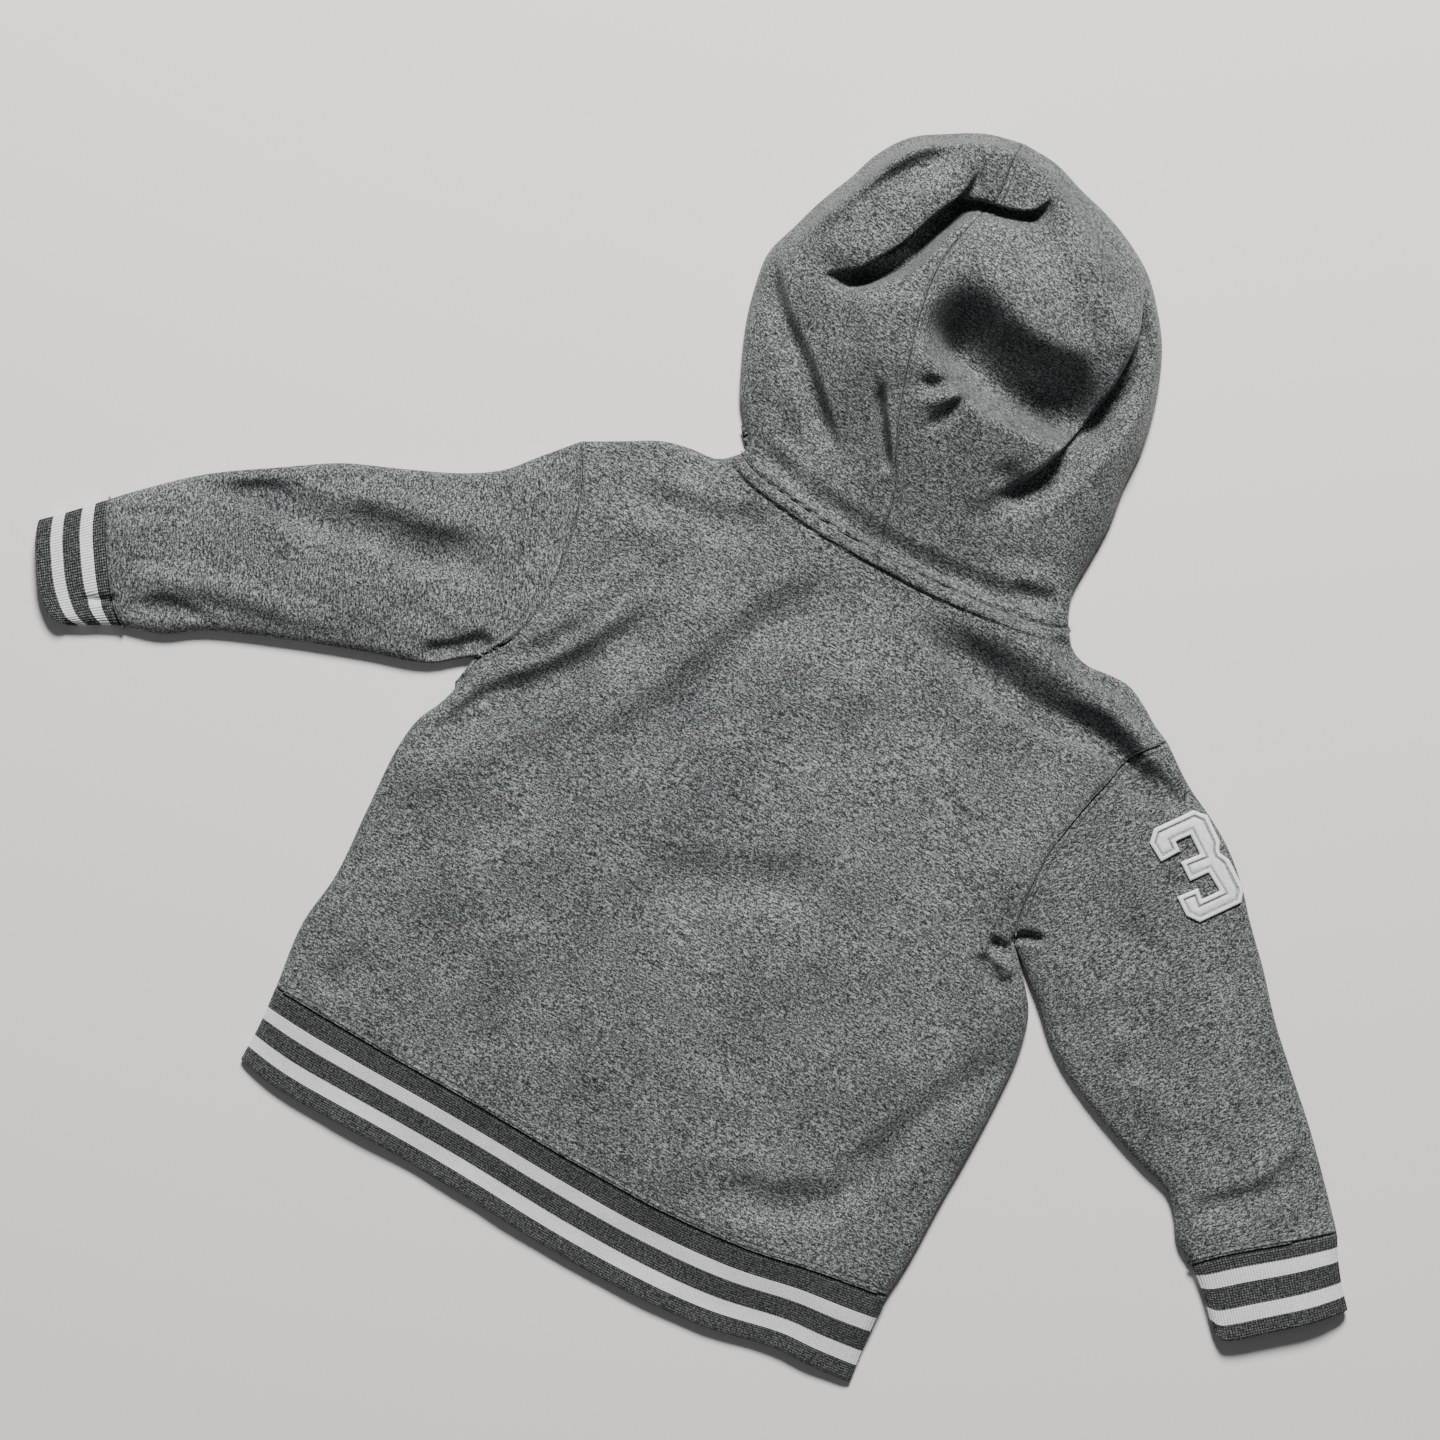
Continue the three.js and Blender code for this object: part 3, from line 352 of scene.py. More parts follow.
def nearestOn(line, x, y):
    # distance to a polyline, segment, place in it and side (1 on the left)
    best = np.full(x.shape, 1e9)
    index = np.zeros(x.shape, int)
    part = np.zeros(x.shape)
    side = np.ones(x.shape)
    for k, (a, b) in enumerate(zip(line[:-1], line[1:])):
        dx, dy = b - a
        px, py = x - a[0], y - a[1]
        t = np.clip((px * dx + py * dy) / (dx * dx + dy * dy), 0, 1)
        away = (px - t * dx) ** 2 + (py - t * dy) ** 2
        closer = away < best
        best = np.where(closer, away, best)
        index[closer] = k
        part = np.where(closer, t, part)
        side = np.where(closer, np.sign(dx * py - dy * px), side)
    return np.sqrt(best), index, part, side


# the garment's outline in three runs, with the floor on the left of each
outlines = [
    joined(
        curve(leftCuffCut["over"])[::-1], curve(leftSleeveCut["overarm"])[::-1],
        curve(torsoCut["leftShoulder"]), curve(hoodCut["leftSide"]),
        curve(hoodCut["rightSide"])[::-1], curve(torsoCut["rightShoulder"])[::-1],
        curve(rightSleeveCut["overarm"]), curve(rightCuffCut["over"]),
    ),
    joined(
        curve(hemBandCut["leftSide"]), curve(torsoCut["leftSide"]),
        curve(leftSleeveCut["underarm"]), curve(leftCuffCut["under"]),
    ),
    joined(
        curve(rightCuffCut["under"])[::-1], curve(rightSleeveCut["underarm"])[::-1],
        curve(torsoCut["rightSide"])[::-1], curve(hemBandCut["rightSide"])[::-1],
    ),
]


def nearestEdge(x, y):
    best = np.full(x.shape, 1e9)
    out = np.zeros(x.shape + (2,))
    for line in outlines:
        distance, index, part, _ = nearestOn(line, x, y)
        away = leftAt(line, index, part)
        closer = distance < best
        best = np.where(closer, distance, best)
        out[closer] = away[closer]
    return best, out / np.maximum(np.linalg.norm(out, axis=-1, keepdims=True), 1e-9)


# how the cloth stands above the floor, in millimetres
clothForm = {
    "edgeHeight": 4.2, "edgeRoll": 5, "edgeCrown": 4, "leastHeight": 5.2,
    "loft": 5.6, "loftWidth": 34,
    "hemLoss": 3.4, "hemReach": 75, "cuffLoss": 2.2, "cuffReach": 70,
    "flapRise": 15, "flapWidth": 18,
    "domeRise": 21, "domeStart": 12, "domeWidth": 60, "domeNeckReach": 110,
    "stripRise": 2.0, "stripWidth": 7.6,
    "unevenness": 0.42,
    "edgeThinning": 0.46, "thinningReach": 42,
}
neckLine = joined(curve(torsoCut["leftNeck"]), curve(torsoCut["rightNeck"])[::-1])


def unevenness(x, y, count=26):
    # a hand's touch: faint waves of many lengths in many directions
    total = np.zeros_like(x)
    waves = np.random.default_rng(58)
    for _ in range(count):
        length = waves.uniform(16, 90)
        turn, phase = waves.uniform(0, math.tau), waves.uniform(0, math.tau)
        way = (x * math.cos(turn) + y * math.sin(turn)) / length * math.tau
        total += np.sin(way + phase + 1.3 * np.sin(way * 0.37 + phase)) * (length / 60) ** 0.7
    return total / count**0.5


def fadedEnds(line, index, part):
    # 0 at both ends of a fold, 1 over its middle half
    run = lengths(line)
    along = (run[index] + part * (run[index + 1] - run[index])) / run[-1]
    return smooth(np.minimum(along, 1 - along) * 4)


def foldHeight(fold, x, y):
    depth, left, right, path = fold
    line = curve(path, 3.0)
    reach = max(left, right)
    low, high = line.min(0) - reach, line.max(0) + reach
    near = (x > low[0]) & (x < high[0]) & (y > low[1]) & (y < high[1])
    height = np.zeros_like(x)
    if near.any():
        distance, index, part, side = nearestOn(line, x[near], y[near])
        width = np.where(side > 0, left, right)
        hollow = np.maximum(1 - (distance / width) ** 2, 0) ** 2
        height[near] = depth * fadedEnds(line, index, part) * hollow
    return height


def lipLean(name, x, y):
    # how far the lip on a fold's left moves over its trough
    _, left, _, path = clothFolds[name]
    lean, behind = leaningLips[name]
    line = curve(path, 3.0)
    distance, index, part, side = nearestOn(line, x, y)
    lip = min(left, 8)
    amount = smooth(distance / lip) * (1 - smooth((distance - lip) / behind))
    amount *= lean * fadedEnds(line, index, part) * (side > 0)
    return -leftAt(line, index, part) * amount[..., None]


def settled(edge):
    # folds start a little way in from the edge
    return smooth((edge - 3) / 9)


def clothHeight(x, y):
    # height of the upper layer without its rolled edge
    edge, _ = nearestEdge(x, y)
    hemPart = 1 - smooth(y / clothForm["hemReach"])
    cuffs = [curve(cut["edge"]).mean(0) for cut in (leftCuffCut, rightCuffCut)]
    cuffGap = np.minimum(*(np.hypot(x - c[0], y - c[1]) for c in cuffs))
    cuffPart = 1 - smooth(cuffGap / clothForm["cuffReach"])
    rise = clothForm["loft"] - clothForm["hemLoss"] * hemPart - clothForm["cuffLoss"] * cuffPart
    height = rise * rising(edge / clothForm["loftWidth"])
    above = y - np.interp(x, neckLine[:, 0], neckLine[:, 1])
    dome = clothForm["flapRise"] * rising(edge / clothForm["flapWidth"])
    dome += clothForm["domeRise"] * smooth((edge - clothForm["domeStart"]) / clothForm["domeWidth"])
    strip = clothForm["stripRise"] * smooth((clothForm["stripWidth"] + above) * 1.2)
    height += np.where(above > 0, dome * smooth(above / clothForm["domeNeckReach"]), strip)
    foldPart = settled(edge)
    for fold in [*clothFolds.values(), *fineCreases.values()]:
        height += foldPart * foldHeight(fold, x, y)
    for fold in armpitFolds.values():
        height += smooth((edge - 0.6) / 3.4) * foldHeight(fold, x, y)
    height += foldPart * unevenness(x, y) * clothForm["unevenness"]
    rolled = clothForm["edgeCrown"] * rising(edge / clothForm["edgeRoll"])
    return np.maximum(height, clothForm["leastHeight"] - clothForm["edgeHeight"] - rolled)


# the height is worked out once on a fine plan and read off it for every piece
planStep = 1.0
planX = np.arange(-396, 386, planStep)
planY = np.arange(-22, 602, planStep)
planPoints = np.meshgrid(planX, planY)
planHeight = clothHeight(*planPoints)
planLean = sum(lipLean(name, *planPoints) for name in leaningLips)
planLean *= settled(nearestEdge(*planPoints)[0])[..., None]


def readPlan(values, x, y):
    u = np.clip((x - planX[0]) / planStep, 0, len(planX) - 2)
    v = np.clip((y - planY[0]) / planStep, 0, len(planY) - 2)
    i, j = v.astype(int), u.astype(int)
    a, b = u - j, v - i
    if values.ndim == 3:
        a, b = a[..., None], b[..., None]
    low = values[i, j] * (1 - a) + values[i, j + 1] * a
    high = values[i + 1, j] * (1 - a) + values[i + 1, j + 1] * a
    return low * (1 - b) + high * b


print("cloth heights ready, highest", round(float(planHeight.max()), 1), "mm")

seamPaths = {
    # name: (kind of seam, path, side that the row of stitches lies on)
    "leftArmhole": ("armhole", curve(torsoCut["leftArmhole"], 2), 1),
    "rightArmhole": ("armhole", curve(torsoCut["rightArmhole"], 2), -1),
    "neck": (
        "neck", joined(curve(torsoCut["leftNeck"], 2), curve(torsoCut["rightNeck"], 2)[::-1]), -1,
    ),
    "hood": ("hood", curve(hoodCut["seam"], 2), -1),
    "hem": ("hem", curve(hemBandCut["seam"], 2), 1),
    "leftCuff": ("cuff", curve(leftCuffCut["seam"], 2), -1),
    "rightCuff": ("cuff", curve(rightCuffCut["seam"], 2), 1),
}


def seamRelief(x, y):
    # sewn seams: the cloth turns down into the seam, with a ridge up to the row of stitches
    relief = np.zeros_like(x)
    for kind, path, stitchedSide in seamPaths.values():
        depth, width, row, ridge = sewnLines[kind]
        low, high = path.min(0) - 12, path.max(0) + 12
        near = (x > low[0]) & (x < high[0]) & (y > low[1]) & (y < high[1])
        if not near.any():
            continue
        distance, _, _, side = nearestOn(path, x[near], y[near])
        bulge = ridge * bell(distance - row / 2, row / 3.2)
        bulge -= (0.1 + 0.9 * ridge) * bell(distance - row, 0.6)     # dimples of the stitches
        bulge += 0.4 * ridge * bell(distance - row - 1.5, 0.8)
        plain = 0.12 * bell(distance - 2.4, 1.2)
        beside = np.where(side == stitchedSide, bulge, plain)
        relief[near] += beside - depth * bell(distance, width)
    return relief


# slight rucks of the hidden front and hood, raised off the floor
frontRucks = {
    "chestRuck": (0.9, 9, 12, [(-96, 250), (-40, 262), (30, 248), (92, 260)]),
    "waistRuck": (0.8, 10, 9, [(-120, 96), (-52, 112), (24, 100), (110, 118)]),
    "sideRuck": (0.9, 8, 8, [(118, 150), (104, 196), (112, 236)]),
    "leftRuck": (0.8, 8, 10, [(-130, 150), (-112, 190), (-120, 230)]),
    "leftSleeveRuck": (0.7, 8, 8, [(-288, 232), (-244, 246), (-200, 258)]),
    "rightSleeveRuck": (0.7, 8, 8, [(188, 236), (226, 226), (262, 214)]),
    "hoodRuckLeft": (0.8, 7, 9, [(-86, 430), (-92, 470), (-88, 512)]),
    "hoodRuckRight": (0.8, 8, 7, [(66, 420), (64, 462), (58, 500)]),
}


def underRelief(x, y):
    edge, _ = nearestEdge(x, y)
    total = sum(foldHeight(fold, x, y) for fold in frontRucks.values())
    return total * smooth((edge - 5) / 10)


def upperHeight(x, y):
    return readPlan(planHeight, x, y) + seamRelief(x, y)


def edgeThinning(y):
    # the layers lie closer together towards the hem
    return 1 - clothForm["edgeThinning"] * (1 - smooth(y / clothForm["thinningReach"]))


def facePoints(plan, upper, onEdge):
    # points of a layer's outer face over or under the rolled edge's middle
    x, y = plan[..., 0], plan[..., 1]
    distance, _ = nearestEdge(x, y)
    cos = np.where(onEdge, 1, 1 - np.minimum(distance / clothForm["edgeRoll"], 1))
    sin = np.sqrt(1 - cos**2)
    thin = edgeThinning(y)
    if not upper:
        return np.dstack([x, y, clothForm["edgeHeight"] * thin * (1 - sin) + underRelief(x, y)])
    rise = np.where(onEdge, 0, upperHeight(x, y) * np.minimum(sin * 1.6, 1))
    z = (clothForm["edgeHeight"] + clothForm["edgeCrown"] * sin) * thin + rise
    return np.dstack([plan + readPlan(planLean, x, y), z])


# distances from an edge at which the mesh lies closer together
edgeStations = np.array([
    0, 0.12, 0.35, 0.7, 1.1, 1.6, 2.2, 2.8, 3.2, 3.6, 4.1, 4.8, 5.6, 6.3, 6.8, 7.2, 7.7, 8.4, 9.4
])


def spread(length, spacing, fineStart=True, fineEnd=True):
    scale = min(1, length / 3 / edgeStations[-1])
    start = edgeStations * scale if fineStart else np.zeros(1)
    end = length - (edgeStations[::-1] * scale if fineEnd else np.zeros(1))
    count = max(1, round((end[0] - start[-1]) / spacing))
    return np.concatenate([start, np.linspace(start[-1], end[0], count + 1)[1:-1], end])


def spreadOn(line, spacing, fineStart=True, fineEnd=True):
    return pointsAt(line, spread(lengths(line)[-1], spacing, fineStart, fineEnd))


def asMany(line, like):
    # points of one edge at the same shares of its length as those of the opposite edge
    share = lengths(like) / lengths(like)[-1]
    return pointsAt(line, share * lengths(line)[-1])


def filled(bottom, top, left, right):
    # plan points inside four edges
    def shares(line, spare):
        run = lengths(line)
        return run / run[-1] if run[-1] > 0 else spare
    low = shares(bottom, None)
    high = shares(top, low)
    start, end = shares(left, None), shares(right, None)
    across = low[None] + (high - low)[None] * ((start + end) / 2)[:, None]
    up = start[:, None] + (end - start)[:, None] * across
    a, b = across[..., None], up[..., None]
    return (
        bottom[None] * (1 - b) + top[None] * b + left[:, None] * (1 - a) + right[:, None] * a
        - bottom[0] * (1 - a) * (1 - b) - bottom[-1] * a * (1 - b)
        - top[0] * (1 - a) * b - top[-1] * a * b
    )


def normals(points, around=False):
    # unit directions square to a grid of points; around joins the last column to the first
    if around:
        wide = np.concatenate([points[:, -1:], points, points[:, :1]], 1)
        alongRow = wide[:, 2:] - wide[:, :-2]
    else:
        alongRow = np.gradient(points, axis=1)
    alongColumn = np.gradient(points, axis=0)
    face = np.cross(alongRow, alongColumn)
    size = np.linalg.norm(face, axis=-1, keepdims=True)
    face = face / np.maximum(size, 1e-12)
    for i in (0, -1):   # a row drawn together into a point takes its neighbour's direction
        if size[i].max() < 1e-9:
            face[i] = face[1 if i == 0 else -2]
    return face


def keepUpright(face, line):
    # keeps a wall's end in the upright plane of its seam
    square = leftOf(line[:, :2])
    part = (face[:, :2] * square).sum(1, keepdims=True)
    face[:, :2] -= part * square
    return face / np.linalg.norm(face, axis=1, keepdims=True)


def squareToOutline(face, outer, places, around=12.25):
    # where a seam meets the outline the wall runs straight in from it, to the side that
    # most of the cloth around the place lies on
    for i, j in places:
        _, out = nearestEdge(outer[i, j, :1], outer[i, j, 1:2])
        gaps = outer[..., :2] - outer[i, j, :2]
        inwards = gaps[np.hypot(gaps[..., 0], gaps[..., 1]) < around].sum(0)
        face[i, j] = (*(-np.sign(out[0] @ inwards) * out[0]), 0)
    return face


def rolledAround(face, outer, middle, upper=None, reach=8):
    # where many rows run together the wall follows the rolled edge itself
    x, y, z = np.moveaxis(outer, -1, 0)
    near = np.hypot(x - middle[0], y - middle[1]) < reach
    gap, out = nearestEdge(x[near], y[near])
    level = np.clip(1 - gap / clothForm["edgeRoll"], 0, 1)[:, None]
    above = z[near] >= clothForm["edgeHeight"] if upper is None else np.full(len(gap), upper)
    upwards = np.where(above, 1, -1)[:, None]
    face[near] = np.hstack([out * level, upwards * np.sqrt(1 - level**2)])
    return face


def roundedRim(outer, inner, depth, radius=1.1, drawn=0.86):
    # draws the two faces together over the last millimetre before an open edge
    level = 1 - np.clip(depth / radius, 0, 1)
    close = drawn * (1 - np.sqrt(1 - level**2))[..., None] / 2
    return outer + (inner - outer) * close, inner + (outer - inner) * close


def onModel(points):
    return (np.asarray(points, float) + [*patternShift, 0]) / 1000


def placed(name, data):
    thing = bpy.data.objects.new(name, data)
    bpy.context.scene.collection.objects.link(thing)
    return thing


def meshPiece(name, points, faces, materials):
    mesh = bpy.data.meshes.new(name)
    mesh.from_pydata(onModel(points).tolist(), [], faces)
    mesh.validate()
    for material in materials:
        mesh.materials.append(material)
    mesh.shade_smooth()
    return placed(name, mesh)


def shell(name, outer, inner, materials, around=False, rowFinish=None, place=None):
    # a thin closed wall of cloth between an outer and an inner grid of points
    rows, columns = outer.shape[:2]
    number = np.arange(rows * columns).reshape(rows, columns)
    if around:
        number = np.hstack([number, number[:, :1]])
    below = number + rows * columns

    def quads(a, b, c, d):
        return np.stack([a, b, c, d], -1).reshape(-1, 4)

    faces = [
        quads(number[:-1, :-1], number[:-1, 1:], number[1:, 1:], number[1:, :-1]),
        quads(below[:-1, :-1], below[1:, :-1], below[1:, 1:], below[:-1, 1:]),
        quads(number[0, 1:], number[0, :-1], below[0, :-1], below[0, 1:]),
        quads(number[-1, :-1], number[-1, 1:], below[-1, 1:], below[-1, :-1]),
    ]
    if not around:
        faces += [
            quads(number[:-1, 0], number[1:, 0], below[1:, 0], below[:-1, 0]),
            quads(number[1:, -1], number[:-1, -1], below[:-1, -1], below[1:, -1]),
        ]
    points = np.concatenate([outer.reshape(-1, 3), inner.reshape(-1, 3)])
    piece = meshPiece(name, points, np.concatenate(faces).tolist(), materials)
    if rowFinish is not None:
        stripes = np.repeat(rowFinish, columns)
        finish = np.concatenate([stripes, stripes, stripes[:columns], stripes[-columns:]])
        piece.data.polygons.foreach_set("material_index", finish.tolist())
    if place is not None:
        spot = piece.data.attributes.new("ribPlace", "FLOAT_VECTOR", "POINT")
        both = np.concatenate([place.reshape(-1, 3), place.reshape(-1, 3)]) / 1000
        spot.data.foreach_set("vector", both.ravel())
    return piece


def area(grid):
    # square metres of a grid's surface, from the diagonals of its quads
    across = grid[1:, 1:] - grid[:-1, :-1]
    down = grid[1:, :-1] - grid[:-1, 1:]
    return np.linalg.norm(np.cross(across, down), axis=-1).sum() / 2 / 1e6


def tubeFaces(plans):
    # a flattened tube: over the top and back along the underside
    edges = [np.zeros(plan.shape[:2], bool) for plan in plans]
    for edge in edges:
        edge[:, [0, -1]] = True
    top = facePoints(plans[0], True, edges[0])
    under = facePoints(plans[1], False, edges[1])
    return np.concatenate([top, under[:, 1:-1][:, ::-1]], 1)


def turned(face, column, upwards=True):
    # directions that point out of the cloth, whichever way its grid runs
    return face if (face[len(face) // 2, column, 2] > 0) == upwards else -face


def uprightRing(face, top, under):
    count = len(top)
    face[:count] = keepUpright(face[:count], top)
    face[count:] = keepUpright(face[count:], under[1:-1][::-1])
    return face


def tubeEnds(plans):
    # the four places where a tube's two end seams meet the outline
    last = plans[0].shape[1] - 1
    return [(0, 0), (0, last), (-1, 0), (-1, last)]


def newMaterial(name, roughness, sheen=0.0, specular=0.3):
    material = bpy.data.materials.new(name)
    material.use_nodes = True
    shader = material.node_tree.nodes["Principled BSDF"]
    shader.inputs["Roughness"].default_value = roughness
    shader.inputs["Specular IOR Level"].default_value = specular
    shader.inputs["Sheen Weight"].default_value = sheen
    shader.inputs["Sheen Roughness"].default_value = 0.45
    return material, material.node_tree, shader


def addNode(tree, kind, at, **values):
    node = tree.nodes.new(kind)
    node.location = at
    for key, value in values.items():
        if key in node.inputs:
            node.inputs[key].default_value = value
        else:
            setattr(node, key, value)
    return node


def noise(tree, place, at, scale, detail=2.0, roughness=0.55):
    node = addNode(tree, "ShaderNodeTexNoise", at, Scale=scale, Detail=detail, Roughness=roughness)
    tree.links.new(place, node.inputs["Vector"])
    return node.outputs["Fac"]


def ramp(tree, source, at, *stops):
    node = addNode(tree, "ShaderNodeValToRGB", at)
    marks = node.color_ramp.elements
    while len(marks) < len(stops):
        marks.new(0.5)
    for mark, (position, colour) in zip(marks, stops):
        mark.position = position
        mark.color = (*colour, 1)
    tree.links.new(source, node.inputs["Fac"])
    return node.outputs["Color"]


def mix(tree, kind, amount, first, second, at):
    node = addNode(tree, "ShaderNodeMix", at, data_type="RGBA", blend_type=kind)
    sockets = (node.inputs["Factor"], node.inputs[6], node.inputs[7])
    for socket, value in zip(sockets, (amount, first, second)):
        if isinstance(value, bpy.types.NodeSocket):
            tree.links.new(value, socket)
        else:
            socket.default_value = value
    return node.outputs[2]


def onObject(tree):
    return addNode(tree, "ShaderNodeTexCoord", (-1500, 0)).outputs["Object"]


def stretched(tree, where, turn, length):
    # coordinates that draw a pattern out to so many times its width, at an angle
    lie = addNode(tree, "ShaderNodeMapping", (-1300, 0), vector_type="TEXTURE")
    lie.inputs["Rotation"].default_value = (0, 0, math.radians(turn))
    lie.inputs["Scale"].default_value = (length, 1, 1)
    tree.links.new(where, lie.inputs["Vector"])
    return lie.outputs["Vector"]


def finished(tree, shader, yarn, colour, strength, depth):
    # the yarn raises the surface under its own colour
    bump = addNode(tree, "ShaderNodeBump", (-260, -260), Strength=strength, Distance=depth)
    tree.links.new(yarn, bump.inputs["Height"])
    tree.links.new(bump.outputs["Normal"], shader.inputs["Normal"])
    tree.links.new(colour, shader.inputs["Base Color"])


fleeceLook = {
    "dark": (0.012, 0.015, 0.0155),
    "middle": (0.080, 0.091, 0.090),
    "light": (0.34, 0.365, 0.355),
    "streakLength": 1.4,    # mm, as the next
    "streakWidth": 0.5,
    "flecks": 0.5,          # share of round flecks among the streaks
    "fleckSize": 0.8,
    "bump": 0.55,
    "sheen": 0.12,
}


def fleece(name, turn):
    # heather knit: short streaks of light and dark yarn across the knit, then fine flecks
    look = fleeceLook
    material, tree, shader = newMaterial(name, 0.95, look["sheen"], 0.15)
    where = onObject(tree)
    along = stretched(tree, where, turn, look["streakLength"] / look["streakWidth"])
    streaks = noise(tree, along, (-1050, 260), 1000 / look["streakWidth"] / 1.6, 2.5, 0.7)
    flecks = noise(tree, where, (-1050, 20), 1000 / look["fleckSize"], 2.0, 0.6)
    clouds = noise(tree, where, (-1050, -220), 26, 3.0, 0.55)
    tint = noise(tree, where, (-1050, -460), 60, 2.0, 0.5)
    yarn = mix(tree, "MIX", look["flecks"], streaks, flecks, (-800, 160))
    colour = ramp(
        tree, yarn, (-560, 160),
        (0.40, look["dark"]), (0.50, look["middle"]), (0.615, look["light"]),
    )
    shade = ramp(tree, clouds, (-560, -200), (0.3, (0.74, 0.75, 0.755)), (0.7, (1.22, 1.21, 1.20)))
    hue = ramp(tree, tint, (-560, -420), (0.35, (0.985, 1.0, 1.01)), (0.65, (1.012, 1.0, 0.988)))
    colour = mix(tree, "MULTIPLY", 1.0, colour, shade, (-260, 120))
    colour = mix(tree, "MULTIPLY", 1.0, colour, hue, (-60, 120))
    finished(tree, shader, yarn, colour, look["bump"], 0.0006)
    return material


ribLook = {
    "grey": ((0.011, 0.013, 0.0135), (0.044, 0.050, 0.051), (0.16, 0.172, 0.168)),
    "white": ((0.55, 0.59, 0.58), (0.76, 0.80, 0.785), (0.88, 0.90, 0.885)),
    "pitch": 1.45,      # mm from rib to rib
    "rise": 0.5,
    "columns": 4,       # of mesh in a rib
    "thickness": 2.0,
    "offFloor": 0.6,
    "stitch": 0.00115,  # metres down a rib
    "bump": 0.5,
}


def bands(tree, place, at, way, period, distortion=0.0):
    node = addNode(tree, "ShaderNodeTexWave", at, wave_type="BANDS", bands_direction=way)
    node.inputs["Scale"].default_value = math.tau / 20 / period
    node.inputs["Distortion"].default_value = distortion
    node.inputs["Phase Offset"].default_value = -math.pi / 2
    tree.links.new(place, node.inputs["Vector"])
    return node.outputs["Fac"]


def ribYarn(name, colours, contrast, valleyShade):
    # rib knit: small stitches down each rib, the yarn's own flecks, and painted shade darkening the
    # valleys between the ribs
    material, tree, shader = newMaterial(name, 0.9, 0.1, 0.2)
    ribPlace = addNode(tree, "ShaderNodeAttribute", (-1500, 300), attribute_name="ribPlace")
    place, where = ribPlace.outputs["Vector"], onObject(tree)
    stitchRows = bands(tree, place, (-1100, 260), "Y", ribLook["stitch"], 0.6)
    ribs = bands(tree, place, (-1100, 500), "X", ribLook["pitch"] / 1000)
    flecks = noise(tree, where, (-1100, -60), 1000 / 0.9, 2.0, 0.65)
    clouds = noise(tree, where, (-1100, -320), 45, 2.0, 0.5)
    yarn = mix(tree, "MIX", 0.16, flecks, stitchRows, (-820, 120))
    low, middle, high = colours
    colour = ramp(
        tree, yarn, (-560, 120), (0.5 - contrast, low), (0.5, middle), (0.5 + contrast, high),
    )
    shade = ramp(tree, clouds, (-560, -200), (0.3, (0.93,) * 3), (0.7, (1.05,) * 3))
    # painted shade: the colour is darkened along the valleys between the ribs, where shade would
    # fall
    grooveShade = ramp(tree, ribs, (-560, 400), (0.05, (valleyShade,) * 3), (0.6, (1.0,) * 3))
    colour = mix(tree, "MULTIPLY", 1.0, colour, shade, (-260, 120))
    colour = mix(tree, "MULTIPLY", 1.0, colour, grooveShade, (-60, 120))
    finished(tree, shader, yarn, colour, ribLook["bump"], 0.0004)
    return material


bodyFleece = fleece("body_fleece", 0)
hoodFleece = fleece("hood_fleece", -4)
leftSleeveFleece = fleece("left_sleeve_fleece", 118)
rightSleeveFleece = fleece("right_sleeve_fleece", 48)
# the last number is how dark the painted shade in the rib valleys goes
greyRib = ribYarn("grey_rib", ribLook["grey"], 0.13, 0.5)
whiteRib = ribYarn("white_rib", ribLook["white"], 0.2, 0.8)
print("cloth finishes ready")

# --- back and front panel

torsoLook = {
    "thickness": 2.2,
    "backSpacing": 1.9,
    "frontSpacing": 4.6,
    "neckDrop": 56,             # of the front neckline below the back one
    "backFlat": (0.352, 0.386),
    "backArea": 0.121,
    "frontFlat": (0.352, 0.350),
    "frontArea": 0.112,
}


def frontNeckline():
    across = np.linspace(0, 1, 31)[:, None]
    line = neckLine[0] * (1 - across) + neckLine[-1] * across
    line[:, 1] -= torsoLook["neckDrop"] * (1 - (2 * across[:, 0] - 1) ** 2)
    return line


def halves(line, middle):
    # a neck line split at a distance along it
    run = lengths(line)
    cut = pointsAt(line, [middle])
    return np.vstack([line[run < middle - 1e-6], cut]), np.vstack([cut, line[run > middle + 1e-6]])


def torsoPlan(neck, spacing):
    half = seamGap / 2
    leftArm = spreadOn(curve(torsoCut["leftArmhole"], 2), spacing, False, True)
    rightArm = asMany(curve(torsoCut["rightArmhole"], 2), leftArm)
    leftSide = spreadOn(curve(torsoCut["leftSide"]), spacing, True, False)
    rightSide = asMany(curve(torsoCut["rightSide"]), leftSide)
    leftTop = spreadOn(curve(torsoCut["leftShoulder"]), spacing, True, False)
    rightTop = spreadOn(curve(torsoCut["rightShoulder"]), spacing, True, False)[::-1]
    collar = moved(spreadOn(neck, spacing, False, False), -half)
    leftArm, rightArm = moved(leftArm, -half), moved(rightArm, half)
    top = joined(
        withEnds(leftTop, leftArm[-1], collar[0]), collar,
        withEnds(rightTop, collar[-1], rightArm[-1]),
    )
    bottom = moved(asMany(curve(hemBandCut["seam"], 2), top), half)
    left = joined(withEnds(leftSide, bottom[0], leftArm[0]), leftArm)
    right = joined(withEnds(rightSide, bottom[-1], rightArm[0]), rightArm)
    plan = filled(bottom, top, left, right)
    rolled = np.zeros(plan.shape[:2], bool)
    rolled[:len(leftSide), [0, -1]] = True
    rolled[-1, :len(leftTop)] = rolled[-1, -len(rightTop):] = True
    return plan, rolled, len(leftSide) - 1, len(leftTop) - 1


